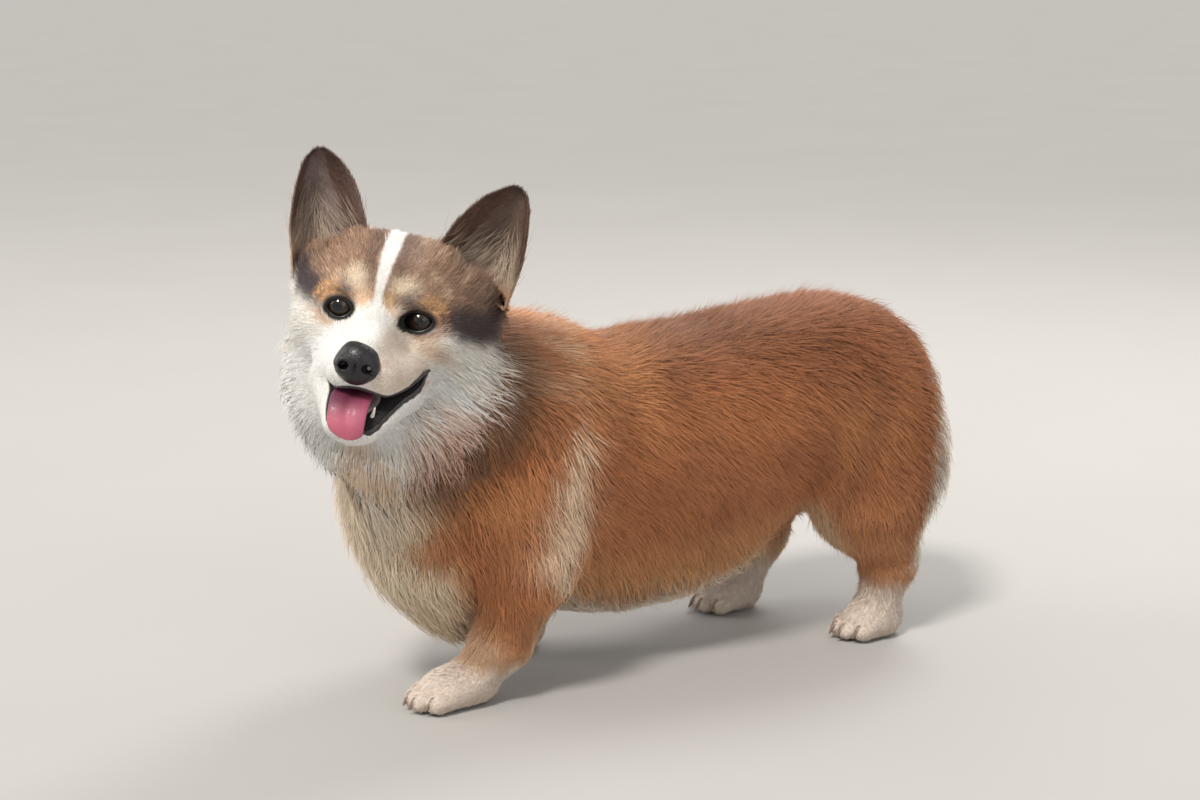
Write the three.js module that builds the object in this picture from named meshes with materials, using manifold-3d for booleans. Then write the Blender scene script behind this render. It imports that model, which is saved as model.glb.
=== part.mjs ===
// Pembroke welsh corgi, life size, standing, head turned to its left with the mouth open.
// Millimetres, +Z up. The dog faces -Y and its left side is at +X.
// Every outer surface is the surface of the coat at its tips.
import * as THREE from "three";
import Module from "manifold-3d";

const wasm = await Module();
wasm.setup();
const { Manifold, Mesh } = wasm;

// ---------------------------------------------------------------- driving sizes
const GAP = 0.3;                 // air between two pieces that touch
const BODY_STEP = 9;             // sampling of the trunk and legs
const HEAD_STEP = 5;             // sampling of the head
const PAW_STEP = 4.2;            // sampling of the feet
const BODY_FACES = 2220;
const HEAD_FACES = 2060;
const PAW_FACES = 330;
const EYE_R = 10.5;              // eyeball radius
const HEAD_SCALE = 1.05;         // head drawn at 1, worn at this size
// axes of the turned head (columns: dog's left, backwards, upwards) and the point between its eyes
const HEAD_AXES = [[0.5176, -0.8538, 0.0557], [0.8362, 0.5186, 0.1784], [-0.1812, -0.0458, 0.9824]];
const HEAD_AT = [98, -259.5, 323.5];
const COAT = {
  red: 0xa8622f, tan: 0xc99a66, cream: 0xe6dccb, sable: 0x6b5a50, black: 0x17161a,
  eye: 0x2a1a10, tongue: 0xc96a7b, claw: 0x4a4038, ear: 0x7d6149,
};
const AXIS_TILT = Math.PI / 180;

// ---------------------------------------------------------------- small vector helpers
const sub = (a, b) => [a[0] - b[0], a[1] - b[1], a[2] - b[2]];
const add = (a, b) => [a[0] + b[0], a[1] + b[1], a[2] + b[2]];
const mul = (a, s) => [a[0] * s, a[1] * s, a[2] * s];
const dot = (a, b) => a[0] * b[0] + a[1] * b[1] + a[2] * b[2];
const cross = (a, b) => [a[1] * b[2] - a[2] * b[1], a[2] * b[0] - a[0] * b[2], a[0] * b[1] - a[1] * b[0]];
const len = (a) => Math.hypot(a[0], a[1], a[2]);
const unit = (a) => mul(a, 1 / (len(a) || 1));
const mix = (a, b, t) => [a[0] + (b[0] - a[0]) * t, a[1] + (b[1] - a[1]) * t, a[2] + (b[2] - a[2]) * t];
const clamp = (v, a, b) => Math.min(b, Math.max(a, v));

const toHead = (p) => {
  const d = sub(p, HEAD_AT);
  return [0, 1, 2].map((j) => (d[0] * HEAD_AXES[0][j] + d[1] * HEAD_AXES[1][j] + d[2] * HEAD_AXES[2][j]) / HEAD_SCALE);
};
const fromHead = (q) => [0, 1, 2].map((i) => HEAD_AT[i] + HEAD_SCALE * (HEAD_AXES[i][0] * q[0] + HEAD_AXES[i][1] * q[1] + HEAD_AXES[i][2] * q[2]));

// ---------------------------------------------------------------- rounded masses
const groups = {};
const turn = (r) => {
  const [a, b, c] = r.map((v) => v * AXIS_TILT);
  const [ca, sa, cb, sb, cc, sc] = [Math.cos(a), Math.sin(a), Math.cos(b), Math.sin(b), Math.cos(c), Math.sin(c)];
  return [
    [cc * cb, cc * sb * sa - sc * ca, cc * sb * ca + sc * sa],
    [sc * cb, sc * sb * sa + cc * ca, sc * sb * ca - cc * sa],
    [-sb, cb * sa, cb * ca],
  ];
};
// an ellipsoid: centre, half sizes, turn in degrees, how softly it joins the group
const ball = (g, c, r, rot, k) => (groups[g] ??= []).push({ c, r, m: turn(rot), k, t: 0 });
// a tapering round bar: two ends, two radii, how softly it joins the group
const bone = (g, a, b, ra, rb, k) => {
  const ab = sub(b, a), L = len(ab), s = (ra - rb) / L;
  (groups[g] ??= []).push({ a, u: mul(ab, 1 / L), L, ra, rb, q: s / Math.sqrt(Math.max(1 - s * s, 1e-6)), k, t: 1 });
};
const smin = (a, b, k) => {
  if (k <= 0) return Math.min(a, b);
  const h = Math.max(k - Math.abs(a - b), 0) / k;
  return Math.min(a, b) - h * h * k * 0.25;
};
const smax = (a, b, k) => -smin(-a, -b, k);
const dist = (e, p) => {
  if (e.t === 1) {
    const w = sub(p, e.a), t = dot(w, e.u), r = Math.sqrt(Math.max(dot(w, w) - t * t, 0));
    const f = clamp((t + r * e.q) / e.L, 0, 1);
    return Math.hypot(t - f * e.L, r) - (e.ra + (e.rb - e.ra) * f);
  }
  const w = sub(p, e.c), m = e.m;
  const x = (w[0] * m[0][0] + w[1] * m[1][0] + w[2] * m[2][0]) / e.r[0];
  const y = (w[0] * m[0][1] + w[1] * m[1][1] + w[2] * m[2][1]) / e.r[1];
  const z = (w[0] * m[0][2] + w[1] * m[1][2] + w[2] * m[2][2]) / e.r[2];
  const k0 = Math.hypot(x, y, z), k1 = Math.hypot(x / e.r[0], y / e.r[1], z / e.r[2]);
  return k0 < 1e-6 ? -Math.min(...e.r) : (k0 * (k0 - 1)) / Math.max(k1, 1e-9);
};
const ev = (g, p) => {
  let d = null;
  for (const e of groups[g]) d = d === null ? dist(e, p) : smin(d, dist(e, p), e.k);
  return d;
};

// trunk: ribcage, barrel, belly fringe, croup, breast and breast fringe
ball("trunk", [0, -120, 178], [90, 118, 104], [0, 0, 0], 0);
ball("trunk", [0, 30, 188], [94, 185, 92], [0, 0, 0], 30);
ball("trunk", [0, -5, 110], [66, 150, 68], [0, 0, 0], 36);
ball("trunk", [0, 176, 200], [91, 117, 94], [0, 0, 0], 30);
ball("trunk", [0, 100, 192], [70, 80, 90], [0, 0, 0], 30);
ball("trunk", [8, -190, 160], [66, 63, 92], [0, 0, 0], 30);
ball("trunk", [2, -152, 84], [46, 54, 48], [0, 0, 0], 30);
ball("trunk", [0, 268, 226], [19, 22, 17], [0, 0, 0], 14);
bone("neck", [8, -110, 222], [48, -195, 258], 82, 66, 20);
ball("neck", [40, -222, 222], [62, 50, 74], [0, 0, 0], 40);
// legs: name, shoulder or thigh mass, elbow or stifle, wrist or hock, foot centre
const toes = (g, x, y, z, r, splay) => {
  for (let i = 0; i < 4; i++) {
    const s = i - 1.5, mid = Math.abs(s) < 1;
    bone(g, [x + s * 8, y + 8, z], [x + s * splay, y - (mid ? 24 : 15), z - 3], r, r - 0.8, 3);
  }
};
ball("foreL", [64, -128, 150], [38, 56, 80], [0, 0, 0], 0);
bone("foreL", [63, -122, 118], [58, -145, 50], 38, 24, 20);
bone("foreL", [58, -147, 48], [55, -167, 22], 23, 20, 14);
ball("foreL", [54, -185, 15], [23, 31, 18], [0, 0, 0], 12);
toes("foreL", 54, -192, 12, 10.2, 11);
ball("foreR", [-60, -100, 150], [38, 56, 80], [0, 0, 0], 0);
bone("foreR", [-58, -82, 118], [-56, -70, 48], 36, 23, 20);
bone("foreR", [-56, -70, 46], [-54, -76, 22], 22, 20, 14);
ball("foreR", [-54, -85, 14], [22, 29, 17], [0, 0, 0], 12);
toes("foreR", -54, -89, 12, 10, 10.6);
ball("hindL", [58, 200, 158], [40, 74, 86], [0, 0, 0], 0);
bone("hindL", [60, 207, 110], [62, 221, 66], 44, 25, 30);
bone("hindL", [62, 218, 62], [60, 210, 22], 21.5, 20, 14);
ball("hindL", [60, 204, 14], [22.5, 28, 17], [0, 0, 0], 12);
toes("hindL", 60, 200, 12, 9.8, 10.6);
ball("hindR", [-58, 164, 158], [40, 74, 86], [0, 0, 0], 0);
bone("hindR", [-60, 146, 110], [-62, 166, 66], 42, 25, 30);
bone("hindR", [-62, 166, 62], [-62, 146, 22], 22, 20, 14);
ball("hindR", [-62, 136, 14], [22, 29, 17], [0, 0, 0], 12);
toes("hindR", -62, 132, 12, 9.8, 10.6);
// head, drawn straight: skull, cheeks, ruff, forehead, muzzle, lips, brows, cheekbones, jaw
ball("head", [0, 46, 6], [58, 56, 45], [0, 0, 0], 0);
ball("head", [44, 46, -22], [36, 42, 48], [0, 0, 0], 22);
ball("head", [-36, 46, -22], [34, 42, 48], [0, 0, 0], 22);
ball("head", [32, 46, -66], [44, 38, 44], [0, 0, 0], 22);
ball("head", [-26, 46, -66], [42, 38, 44], [0, 0, 0], 22);
ball("head", [2, 48, -88], [50, 42, 44], [0, 0, 0], 22);
ball("head", [0, 20, 13], [32, 26, 26], [0, 0, 0], 14);
bone("head", [-25, 37, 36.5], [28, 37, 37.5], 13.5, 13.5, 16);
bone("head", [0, 12, -26], [0, -46, -30], 31, 19, 18);
bone("head", [0, 2, -8], [0, -54, -17], 13, 10, 10);
bone("head", [0, -44, -79], [0, 20, -72], 9, 26, 14);
bone("head", [32.5, -2, -34.5], [14, -49, -37.5], 14, 13.2, 10);
bone("head", [-27, -2, -36], [-11.5, -49, -37], 13, 12, 10);
ball("head", [0, -51, -79], [14, 12, 9.5], [0, 0, 0], 8);
bone("head", [32, -20, -47], [12, -53, -75], 10.5, 8.5, 8);
bone("head", [-26, -20, -47], [-12, -52, -75], 10, 8.5, 8);
for (const s of [1, -1]) {
  ball("head", [22 * s, 12, 11], [16, 15, 11], [0, 0, 0], 8);
  ball("head", [38 * s, 16, -16], [20, 22, 18], [0, 0, 0], 16);
  bone("head", [27 * s, -8, -52], [6 * s, -38, -74], 13, 9, 12);
  ball("orbit", [29.5 * s, -6, -1], [13, 9.5, 8.5], [0, 8 * s, -24 * s], 0);
}
const EYES = { left: [27.5, 8, -1], right: [-28.5, 8, -1] };
const NOSE = { at: [-2, -53.5, -27.5], r: [15.5, 11.5, 15.5] };
const MOUTH_HINGE = [-20, -33];  // y, z of the corners of the mouth
const UPPER_SLOPE = 0.3, LOWER_SLOPE = 0.87, FLEWS = 5;
const LOWER_DIP = { from: 20, slope: 0.14 };  // the lower lip drops more towards its front
const LEFT_CORNER = { back: 6, up: 1.5 };  // the left corner is drawn further back and up
const FAR_LIPS = { from: -18, over: 9, flews: 2 };  // the lips meet again on the far side
const MOUTH_MIDDLE = 0.7;        // slope of the plane halfway between the lips

const mouth = (q) => {
  const [x, y, z] = q, t = clamp((x - 8) / 32, 0, 1), side = t * t * (3 - 2 * t);
  const out = MOUTH_HINGE[0] + LEFT_CORNER.back * side - y, corner = MOUTH_HINGE[1] + LEFT_CORNER.up * side;
  const flew = (x > 0 ? FLEWS : FAR_LIPS.flews) * Math.exp(-(((Math.abs(x) - (x > 0 ? 25 : 18.5)) / (x > 0 ? 11 : 9)) ** 2)) * clamp(out / 20, 0, 1);
  const up = (z - (corner - out * UPPER_SLOPE - flew)) * 0.95;
  const lo = (corner - out * (LOWER_SLOPE - 0.05 * side) - LOWER_DIP.slope * Math.max(out - LOWER_DIP.from, 0) - z) * 0.72;
  const far = clamp((FAR_LIPS.from - x) / FAR_LIPS.over, 0, 1);
  return Math.max(up, lo, -out) + 12 * far * far * (3 - 2 * far);
};
// the muzzle is drawn long and worn shorter ahead of the eyes
const FOREFACE = { from: -10, keep: 0.86 };
const foreface = (y) => (y < FOREFACE.from ? FOREFACE.from + (y - FOREFACE.from) * FOREFACE.keep : y);
const unforeface = ([x, y, z]) => [x, y < FOREFACE.from ? FOREFACE.from + (y - FOREFACE.from) / FOREFACE.keep : y, z];
const straightHead = (q) => smax(smax(ev("head", q), -ev("orbit", q), 7), -mouth(q), 5);
const headField = (q) => straightHead(unforeface(q));
const field = (p) => {
  let d = smin(ev("trunk", p), ev("neck", p), 28);
  for (const [g, k] of [["foreL", 14], ["foreR", 14], ["hindL", 16], ["hindR", 16]]) d = smin(d, ev(g, p), k);
  if (p[1] < -60) d = smin(d, headField(toHead(p)) * HEAD_SCALE, 16);
  return d;
};

// ---------------------------------------------------------------- surface of a field, by tetrahedra
const TETS = [[0, 5, 1, 6], [0, 1, 2, 6], [0, 2, 3, 6], [0, 3, 7, 6], [0, 7, 4, 6], [0, 4, 5, 6]];
const CORNER = [[0, 0, 0], [1, 0, 0], [1, 1, 0], [0, 1, 0], [0, 0, 1], [1, 0, 1], [1, 1, 1], [0, 1, 1]];
function polygonise(f, lo, hi, h) {
  const n = [0, 1, 2].map((i) => Math.ceil((hi[i] - lo[i]) / h) + 1);
  const val = new Float64Array(n[0] * n[1] * n[2]);
  const at = (i, j, k) => (i * n[1] + j) * n[2] + k;
  const pos = (i, j, k) => [lo[0] + i * h, lo[1] + j * h, lo[2] + k * h];
  for (let i = 0; i < n[0]; i++) for (let j = 0; j < n[1]; j++) for (let k = 0; k < n[2]; k++) {
    const edge = i === 0 || j === 0 || k === 0 || i === n[0] - 1 || j === n[1] - 1 || k === n[2] - 1;
    let v = edge ? Math.max(f(pos(i, j, k)), 0.5 * h) : f(pos(i, j, k));
    if (Math.abs(v) < 1e-3 * h) v = 1e-3 * h;
    val[at(i, j, k)] = v;
  }
  const verts = [], tris = [], cache = new Map();
  const vertex = (a, b) => {
    const ka = at(...a), kb = at(...b), key = ka < kb ? ka * val.length + kb : kb * val.length + ka;
    if (cache.has(key)) return cache.get(key);
    const t = clamp(val[ka] / (val[ka] - val[kb]), 0.04, 0.96);
    verts.push(mix(pos(...a), pos(...b), t));
    cache.set(key, verts.length - 1);
    return verts.length - 1;
  };
  for (let i = 0; i < n[0] - 1; i++) for (let j = 0; j < n[1] - 1; j++) for (let k = 0; k < n[2] - 1; k++) {
    let inside = 0;
    const c = CORNER.map((o) => [i + o[0], j + o[1], k + o[2]]);
    for (const q of c) if (val[at(...q)] < 0) inside++;
    if (inside === 0 || inside === 8) continue;
    for (const t of TETS) {
      const p = t.map((q) => c[q]), s = p.map((q) => val[at(...q)] < 0);
      const neg = [0, 1, 2, 3].filter((q) => s[q]), plus = [0, 1, 2, 3].filter((q) => !s[q]);
      if (!neg.length || !plus.length) continue;
      const centre = mul(neg.map((q) => pos(...p[q])).reduce(add), 1 / neg.length);
      const put = (a, b, d) => {
        const nn = cross(sub(verts[b], verts[a]), sub(verts[d], verts[a]));
        tris.push(dot(nn, sub(verts[a], centre)) > 0 ? [a, b, d] : [a, d, b]);
      };
      if (neg.length === 1) put(...plus.map((q) => vertex(p[neg[0]], p[q])));
      else if (plus.length === 1) put(...neg.map((q) => vertex(p[q], p[plus[0]])));
      else {
        const a = vertex(p[neg[0]], p[plus[0]]), b = vertex(p[neg[0]], p[plus[1]]);
        const d = vertex(p[neg[1]], p[plus[1]]), e = vertex(p[neg[1]], p[plus[0]]);
        put(a, b, d);
        put(a, d, e);
      }
    }
  }
  return { verts, tris };
}

// ---------------------------------------------------------------- fewer faces, by least squared distance
function simplify(mesh, target) {
  const V = mesh.verts.map((v) => v.slice()), F = mesh.tris.map((t) => t.slice());
  const alive = new Uint8Array(F.length).fill(1), faces = V.map(() => new Set()), stamp = new Int32Array(V.length);
  const Q = V.map(() => new Float64Array(10));
  const normal = (a, b, c) => cross(sub(b, a), sub(c, a));
  F.forEach((t, i) => {
    t.forEach((v) => faces[v].add(i));
    const nn = normal(V[t[0]], V[t[1]], V[t[2]]), area = len(nn);
    if (area < 1e-9) return;
    const u = mul(nn, 1 / area), d = -dot(u, V[t[0]]), w = area;
    const q = [u[0] * u[0], u[0] * u[1], u[0] * u[2], u[0] * d, u[1] * u[1], u[1] * u[2], u[1] * d, u[2] * u[2], u[2] * d, d * d];
    for (const v of t) for (let k = 0; k < 10; k++) Q[v][k] += q[k] * w;
  });
  const err = (q, p) => q[0] * p[0] * p[0] + 2 * q[1] * p[0] * p[1] + 2 * q[2] * p[0] * p[2] + 2 * q[3] * p[0] + q[4] * p[1] * p[1]
    + 2 * q[5] * p[1] * p[2] + 2 * q[6] * p[1] + q[7] * p[2] * p[2] + 2 * q[8] * p[2] + q[9];
  const best = (a, b) => {
    const q = Q[a].map((v, k) => v + Q[b][k]), e = 1e-4 * (q[0] + q[4] + q[7]), m = mul(add(V[a], V[b]), 0.5);
    const A = [[q[0] + e, q[1], q[2]], [q[1], q[4] + e, q[5]], [q[2], q[5], q[7] + e]];
    const r = [-q[3] + e * m[0], -q[6] + e * m[1], -q[8] + e * m[2]];
    const det = dot(A[0], cross(A[1], A[2]));
    let p = m;
    if (Math.abs(det) > 1e-12) {
      const c0 = cross(A[1], A[2]), c1 = cross(A[2], A[0]), c2 = cross(A[0], A[1]);
      const s = mul(add(add(mul(c0, r[0]), mul(c1, r[1])), mul(c2, r[2])), 1 / det);
      if (len(sub(s, m)) < 2 * len(sub(V[a], V[b])) + 1) p = s;
    }
    return { p, cost: Math.max(err(q, p), 0) + 1e-3 * dot(sub(V[a], V[b]), sub(V[a], V[b])) };
  };
  const heap = [];
  const push = (it) => {
    heap.push(it);
    let i = heap.length - 1;
    while (i > 0) {
      const up = (i - 1) >> 1;
      if (heap[up].cost <= heap[i].cost) break;
      [heap[up], heap[i]] = [heap[i], heap[up]];
      i = up;
    }
  };
  const pop = () => {
    const top = heap[0], last = heap.pop();
    if (heap.length) {
      heap[0] = last;
      let i = 0;
      for (;;) {
        let m = i;
        const l = 2 * i + 1;
        if (l < heap.length && heap[l].cost < heap[m].cost) m = l;
        if (l + 1 < heap.length && heap[l + 1].cost < heap[m].cost) m = l + 1;
        if (m === i) break;
        [heap[m], heap[i]] = [heap[i], heap[m]];
        i = m;
      }
    }
    return top;
  };
  const ring = (v) => {
    const s = new Set();
    for (const f of faces[v]) for (const w of F[f]) if (w !== v) s.add(w);
    return s;
  };
  const queue = (a, b) => {
    const r = best(a, b);
    push({ a, b, p: r.p, cost: r.cost, sa: stamp[a], sb: stamp[b] });
  };
  for (let v = 0; v < V.length; v++) for (const w of ring(v)) if (v < w) queue(v, w);
  let count = F.length;
  while (count > target && heap.length) {
    const e = pop();
    if (e.sa !== stamp[e.a] || e.sb !== stamp[e.b]) continue;
    const ra = ring(e.a), rb = ring(e.b);
    let shared = 0;
    for (const w of ra) if (rb.has(w)) shared++;
    if (shared !== 2) continue;
    let ok = true;
    for (const v of [e.a, e.b]) for (const f of faces[v]) {
      const t = F[f];
      if (t.includes(e.a) && t.includes(e.b)) continue;
      const before = normal(V[t[0]], V[t[1]], V[t[2]]);
      const after = normal(...t.map((w) => (w === v ? e.p : V[w])));
      const la = len(after), lb = len(before);
      if (dot(before, after) < 0.35 * la * lb || la < 0.02) { ok = false; break; }
    }
    if (!ok) continue;
    V[e.a] = e.p;
    for (let k = 0; k < 10; k++) Q[e.a][k] += Q[e.b][k];
    for (const f of [...faces[e.b]]) {
      const t = F[f];
      if (t.includes(e.a)) {
        alive[f] = 0;
        count--;
        t.forEach((w) => faces[w].delete(f));
      } else {
        t[t.indexOf(e.b)] = e.a;
        faces[e.a].add(f);
      }
    }
    faces[e.b] = new Set();
    stamp[e.b] = -1;
    stamp[e.a]++;
    for (const w of ring(e.a)) queue(e.a, w);
  }
  const used = new Map(), verts = [], tris = [];
  F.forEach((t, i) => {
    if (!alive[i]) return;
    tris.push(t.map((v) => {
      if (!used.has(v)) { used.set(v, verts.length); verts.push(V[v]); }
      return used.get(v);
    }));
  });
  return { verts, tris };
}

// ---------------------------------------------------------------- solids
const solid = ({ verts, tris }) => new Manifold(new Mesh({
  numProp: 3, vertProperties: new Float32Array(verts.flat()), triVerts: new Uint32Array(tris.flat()),
}));
const QUADS = [[0, 3, 2, 1], [4, 5, 6, 7], [0, 1, 5, 4], [1, 2, 6, 5], [2, 3, 7, 6], [3, 0, 4, 7]];
// a block from its centre, three axes and half sizes
const block = (c, ax, half) => {
  let [x, y, z] = ax.map(unit);
  if (dot(cross(x, y), z) < 0) x = mul(x, -1);
  const verts = CORNER.map((o) => add(c, add(add(mul(x, (o[0] * 2 - 1) * half[0]), mul(y, (o[1] * 2 - 1) * half[1])), mul(z, (o[2] * 2 - 1) * half[2]))));
  return solid({ verts, tris: QUADS.flatMap((q) => [[q[0], q[1], q[2]], [q[0], q[2], q[3]]]) });
};
const box = (lo, hi) => block(mul(add(lo, hi), 0.5), [[1, 0, 0], [0, 1, 0], [0, 0, 1]], mul(sub(hi, lo), 0.5));
// a thin plate through c, square to n, reaching hu along u and hv across it
const plate = (c, n, u, hu, hv) => block(c, [u, cross(unit(n), unit(u)), n], [hu, hv, GAP / 2]);
// rings of points joined into a closed skin; ends closed by fans
function loft(rings) {
  const m = rings[0].length, verts = rings.flat(), tris = [];
  const mid = (r) => mul(r.reduce(add), 1 / r.length);
  for (let i = 0; i < rings.length - 1; i++) for (let j = 0; j < m; j++) {
    const a = i * m + j, b = i * m + ((j + 1) % m), c = a + m, d = b + m;
    tris.push([a, b, d], [a, d, c]);
  }
  const s = verts.push(mid(rings[0])) - 1, e = verts.push(mid(rings.at(-1))) - 1, o = (rings.length - 1) * m;
  for (let j = 0; j < m; j++) {
    tris.push([s, (j + 1) % m, j], [e, o + j, o + ((j + 1) % m)]);
  }
  let vol = 0;
  for (const t of tris) vol += dot(verts[t[0]], cross(verts[t[1]], verts[t[2]]));
  if (vol < 0) tris.forEach((t) => t.reverse());
  return { verts, tris };
}
const sphere = (c, r, n = 12, m = 8) => {
  const rr = typeof r === "number" ? [r, r, r] : r, rings = [];
  for (let i = 1; i < m; i++) {
    const a = (Math.PI * i) / m;
    rings.push(Array.from({ length: n }, (_, j) => {
      const b = (2 * Math.PI * j) / n;
      return [c[0] + rr[0] * Math.sin(a) * Math.cos(b), c[1] - rr[1] * Math.cos(a), c[2] + rr[2] * Math.sin(a) * Math.sin(b)];
    }));
  }
  const g = loft(rings);
  g.verts[g.verts.length - 2] = [c[0], c[1] - rr[1], c[2]];
  g.verts[g.verts.length - 1] = [c[0], c[1] + rr[1], c[2]];
  return g;
};
const worn = (g) => ({ verts: g.verts.map(fromHead), tris: g.tris });

// ear: two edge curves from base to tip, a hollow between them, a shell of given thickness
const EARS = {
  left: { med: [[24, 36, 38], [31.5, 38, 57], [38.6, 42, 70.4], [49.7, 47, 85], [61.9, 51, 94.1], [70.5, 53, 98.8]],
    lat: [[80, 42, 12], [84, 43, 36.9], [85.6, 45, 54], [85, 48, 74], [82.5, 51, 88.5], [77.5, 53, 96.8]] },
  right: { med: [[-20, 36, 40], [-29.2, 40, 62], [-38.8, 46, 79.5], [-50, 50, 91.5], [-59.2, 52, 97.2], [-65.5, 53.5, 99.8]],
    lat: [[-70, 42, 6], [-76.6, 44, 34], [-79, 46, 52], [-79.5, 48, 68], [-78, 51, 86], [-73, 53, 97]] },
};
const EAR_HOLLOW = [30, 31, 26, 17, 9, 4], EAR_SHELL = 2.6, EAR_SIDES = 9;
function ear(side, grow = 0) {
  const e = EARS[side], s = side === "left" ? 1 : -1, front = [], back = [];
  for (let i = 0; i < e.med.length; i++) {
    const m = e.med[i], l = e.lat[i], f = [], b = [];
    for (let j = 0; j <= EAR_SIDES; j++) {
      const u = j / EAR_SIDES, w = 4 * u * (1 - u), dir = unit([0.25 * s, 1, -0.12]);
      const p = add(mix(m, l, u), mul(dir, EAR_HOLLOW[i] * (0.25 * w + 0.75 * Math.sqrt(w))));
      const out = unit(add(mul(dir, 1), mul(unit(sub(l, m)), 1.6 * (u - 0.5))));
      const th = EAR_SHELL * (0.55 + 0.45 * w) / 2 + grow;
      f.push(sub(p, mul(out, th)));
      b.push(add(p, mul(out, th)));
    }
    front.push(f);
    back.push(b);
  }
  return loft(front.map((f, i) => [...f, ...back[i].reverse()]));
}
// tongue: an oval section carried along a path that leaves the mouth over the lower lip
const TONGUE = [[0.4, -23, -40, 8, 2.4], [-1, -31, -45, 11.5, 3], [-2.4, -41, -50.5, 13.5, 3.6], [-3, -49.5, -54.5, 14, 4],
  [-2.6, -56, -60, 13.4, 4], [-2, -59.6, -67.7, 13, 3.9], [-0.5, -60.4, -73.6, 11.3, 3.5], [0.8, -60, -77.6, 6.6, 2.7]];
function tongue(grow = 0) {
  const rings = TONGUE.map((t, i) => {
    const a = TONGUE[Math.max(i - 1, 0)], b = TONGUE[Math.min(i + 1, TONGUE.length - 1)];
    const dir = unit([0, b[1] - a[1], b[2] - a[2]]), nrm = [0, -dir[2], dir[1]];
    return Array.from({ length: 10 }, (_, j) => {
      const q = (2 * Math.PI * j) / 10, groove = 0.22 * Math.exp(-((Math.cos(q) / 0.35) ** 2)) * (Math.sin(q) < 0 ? 1 : 0.3);
      return add([t[0], t[1], t[2]], add([(t[3] + grow) * Math.cos(q), 0, 0], mul(nrm, (t[4] * (1 - groove) + grow) * Math.sin(q))));
    });
  });
  return loft(rings);
}
// tapering horn from a to b, bent by sag
const horn = (a, b, ra, rb, sag, sides = 5) => {
  const d = unit(sub(b, a)), u = unit(cross(d, Math.abs(d[2]) > 0.9 ? [1, 0, 0] : [0, 0, 1])), v = cross(u, d), rings = [];
  for (let i = 0; i < 3; i++) {
    const t = i / 2, c = add(mix(a, b, t), [0, 0, sag * 4 * t * (1 - t)]), r = ra + (rb - ra) * t ** 1.2;
    rings.push(Array.from({ length: sides }, (_, j) => {
      const q = (2 * Math.PI * j) / sides;
      return add(c, add(mul(u, r * Math.cos(q)), mul(v, r * Math.sin(q))));
    }));
  }
  return loft(rings);
};

// ---------------------------------------------------------------- whole animal, then parted
const BIG = 700;
const floorCut = box([-BIG, -BIG, -BIG], [BIG, BIG, 0]);
const bodyMesh = solid(simplify(polygonise(field, [-125, -330, -14], [185, 310, 400], BODY_STEP), BODY_FACES)).subtract(floorCut);
const headMesh = solid(simplify(polygonise(field, [-20, -345, 165], [205, -110, 402], HEAD_STEP), HEAD_FACES));

// head from neck: square to NECK_CUT.n in the head's own frame
const NECK_CUT = { n: [0, 0.925, -0.38], c: 76.5 };
const headRegion = (gap) => {
  const n = unit(NECK_CUT.n), c = mul(n, NECK_CUT.c - gap - 150);
  return solid(worn((() => {
    const u = [1, 0, 0], v = cross(n, u);
    const verts = CORNER.map((o) => add(c, add(add(mul(u, (o[0] * 2 - 1) * 130), mul(v, (o[1] * 2 - 1) * 160)), mul(n, (o[2] * 2 - 1) * 150))));
    let tris = QUADS.flatMap((q) => [[q[0], q[1], q[2]], [q[0], q[2], q[3]]]);
    let vol = 0;
    for (const t of tris) vol += dot(verts[t[0]], cross(verts[t[1]], verts[t[2]]));
    if (vol < 0) tris = tris.map((t) => t.slice().reverse());
    return { verts, tris };
  })()));
};
// breast and ruff part below the chin
const RUFF_FLOOR = { c: [60, -262, 193], n: [0.25, -0.35, -0.9] };
const ruffBlock = (gap) => {
  const n = unit(RUFF_FLOOR.n), c = add(RUFF_FLOOR.c, mul(n, 120 + gap));
  return block(c, [cross(n, [1, 0, 0]), [1, 0.2, 0], n].map((a, i) => (i === 1 ? cross(n, cross(n, [1, 0, 0])) : a)), [200, 200, 120]);
};
let head = headMesh.intersect(headRegion(0.15)).subtract(ruffBlock(-0.15));
let rest = bodyMesh.subtract(headRegion(-0.15).subtract(ruffBlock(0.15)));

const pieces = {};
const largest = (m) => m.decompose().sort((a, b) => b.volume() - a.volume())[0];
head = largest(head);
rest = largest(rest);

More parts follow.
